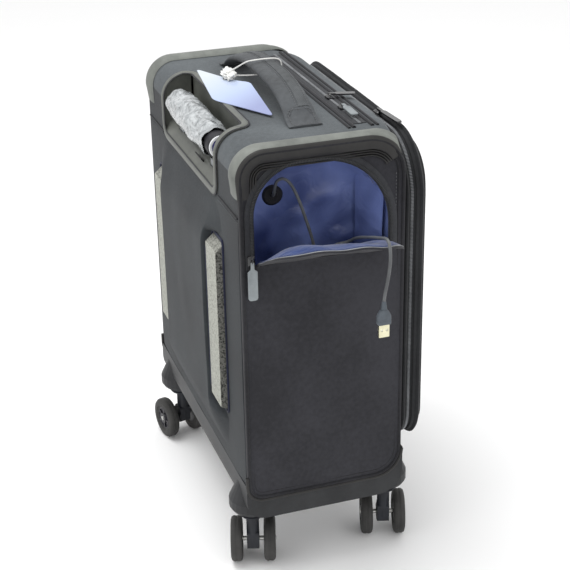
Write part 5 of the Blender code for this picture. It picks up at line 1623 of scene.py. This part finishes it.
def bar_arc(centre, along, up, long, high, radius):
    """Bridge of a slider: a half hoop along its length."""
    along = Vector(along).normalized()
    up = Vector(up).normalized()
    path = []
    for k in range(13):
        turn = math.pi * k / 12
        aside = along * (long / 2 * math.cos(turn))
        path.append(Vector(centre) + aside + up * (high * math.sin(turn) ** 0.6))
    return sweep(path, circle(0, 0, radius, 8), side=tuple(up.cross(along)))


def make_pullers():
    sliders = (("pocket", (0, 0, 1), (-1, 0, 0)), ("main_near", (1, 0, 0), (0, 0, 1)),
               ("main_far", (1, 0, 0), (0, 0, 1)), ("lid_zip", (1, 0, 0), (0, 0, 1)))
    finish_nodes([f"{key}_slider" for key, _, _ in sliders], ZIP_ENAMEL)
    finish_nodes(["main_far_puller", "lid_zip_puller"], ZIP_ENAMEL)
    for key, along, up in sliders:
        low, high = case_box(f"{key}_slider")
        centre = (low + high) / 2 + Vector(up) * 0.0012
        make(f"{key}_slider_bridge", bar_arc(centre, along, up, 0.0085, 0.0028, 0.0008), ZIP_ENAMEL,
             f"{key}_slider")
    low, high = case_box("pocket_puller")
    start = Vector(((low.x + high.x) / 2, (low.y + high.y) / 2, high.z))
    plate = rounded_plate((0, 0, -1), (-1, 0, 0), start, high.z - low.z, 0.0112, 0.0020, 0.24)
    make("pocket_puller_plate", plate, PULLER_GREY, "pocket_puller", ["pocket_puller"])
    low, high = case_box("main_near_puller")
    start = Vector((high.x, (low.y + high.y) / 2, high.z - 0.0009))
    plate = rounded_plate((-1, 0, -0.02), (0, 0, 1), start, high.x - low.x, 0.0090, 0.0020, 0.28)
    make("main_near_puller_plate", plate, PULLER_GREY, "main_near_puller",
         ["main_near_puller"])


# ---------------------------------------------------------------- casters
def make_casters():
    """Twin wheels: grey tyre, ribbed dark hub cap and a bright axle end, turning with the wheel."""
    finish_nodes([n for n in frame["nodes"] if n.startswith("fork_")], NYLON)
    finish_nodes([n for n in frame["nodes"] if n.startswith("axle_")], AXLE_STEEL)
    for joint in frame["joints"]:
        wheel = joint["child"]
        if not wheel.startswith("wheel_"):
            continue
        axis = Vector(joint["axis"]).normalized()
        if wheel.endswith("_a"):
            axis = -axis
        turn = Vector((1, 0, 0)).rotation_difference(axis).to_matrix().to_4x4()
        stand = Matrix.Translation(Vector(joint["pos_m"])) @ turn
        half = 0.00725
        tyre = lathe([(-half, 0.0190), (-half, 0.0240), (-half + 0.0010, 0.0268), (-half + 0.0032, 0.0283),
                      (-0.0016, 0.0285), (-0.0012, 0.0281), (0.0012, 0.0281), (0.0016, 0.0285),
                      (half - 0.0032, 0.0283), (half - 0.0010, 0.0268), (half, 0.0240), (half, 0.0190),
                      (half - 0.0010, 0.0184), (half - 0.0022, 0.0150), (-half + 0.0022, 0.0150),
                      (-half + 0.0010, 0.0184)], 64)
        tyre.transform(stand)
        make(wheel + "_tyre", tyre, TYRE, wheel, [wheel], placed=True, smooth=40)
        hub = lathe([(-half + 0.0016, 0.0036), (-half + 0.0016, 0.0158), (half - 0.0018, 0.0158),
                     (half - 0.0012, 0.0140), (half - 0.0026, 0.0128), (half - 0.0026, 0.0085),
                     (half - 0.0002, 0.0075), (half - 0.0002, 0.0036)], 48)
        parts = [hub]
        for k in range(5):
            ridge = box_outline(0.0070, 0.0140, -0.0011, 0.0011, 0.0004, 2)
            rib = prism(ridge, "X", half - 0.0032, half - 0.0010)
            bmesh.ops.rotate(rib, verts=rib.verts, matrix=Matrix.Rotation(2 * math.pi * k / 5, 3, "X"))
            parts.append(rib)
        hubs = join(parts)
        hubs.transform(stand)
        make(wheel + "_hub", hubs, HUB_PLASTIC, wheel, placed=True, smooth=30)
        cap = lathe([(half - 0.0006, 0.0001), (half + 0.0010, 0.0001), (half + 0.0008, 0.0022),
                     (half + 0.0002, 0.0032), (half - 0.0006, 0.0034)], 24)
        cap.transform(stand)
        make(wheel + "_cap", cap, AXLE_STEEL, wheel, placed=True)
    for name in ("near_back", "near_front", "far_back", "far_front"):
        joint = next(j for j in frame["joints"] if j["child"] == f"caster_{name}")
        x, y, _ = joint["pos_m"]
        collar = lathe([(0.0, 0.0082), (0.0, 0.0150), (0.0016, 0.0162), (0.0026, 0.0162), (0.0032, 0.0150),
                        (0.0044, 0.0150), (0.0050, 0.0172), (0.0072, 0.0172), (0.0080, 0.0160),
                        (0.0080, 0.0082)], 40)
        collar.transform(Matrix.Translation((x, y, 0.0735)) @ Matrix.Rotation(-math.pi / 2, 4, "Y"))
        make(f"caster_{name}_collar", collar, NYLON, f"caster_{name}", placed=True)


def make_lid_hinge():
    """Cloth strip that joins the lid to the far side of the case."""
    rows = []
    back = []
    for i in range(13):
        y = -0.0880 - 0.0210 * i / 12
        bulge = 0.0012 * math.sin(math.pi * i / 12)
        rows.append([Vector((HALF_W + 0.0006 + bulge, y, 0.215 + 0.255 * j / 30)) for j in range(31)])
        back.append([Vector((HALF_W - 0.0002 + bulge, y, 0.215 + 0.255 * j / 30)) for j in range(31)])
    strip = make("lid_hinge_strip", slab(rows, back), LID_CLOTH, None, smooth=60)
    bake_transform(strip)


# ---------------------------------------------------------------- everything
make_camera()
make_studio()
make_cable()
make_tag()
make_sides()
make_back()
make_back_pad()
make_top()
make_main_zip()
make_lid()
make_front_panel()
make_guards()
make_base()
make_pocket()
make_arch_zip()
make_flap()
make_flap_hinge()
make_handle()
make_carry_handle()
make_pullers()
make_casters()
make_lid_hinge()
finish_nodes(["front_frame"], FRAME_PLASTIC)
for seed in SEEDS:
    bpy.data.objects.remove(seed, do_unlink=True)
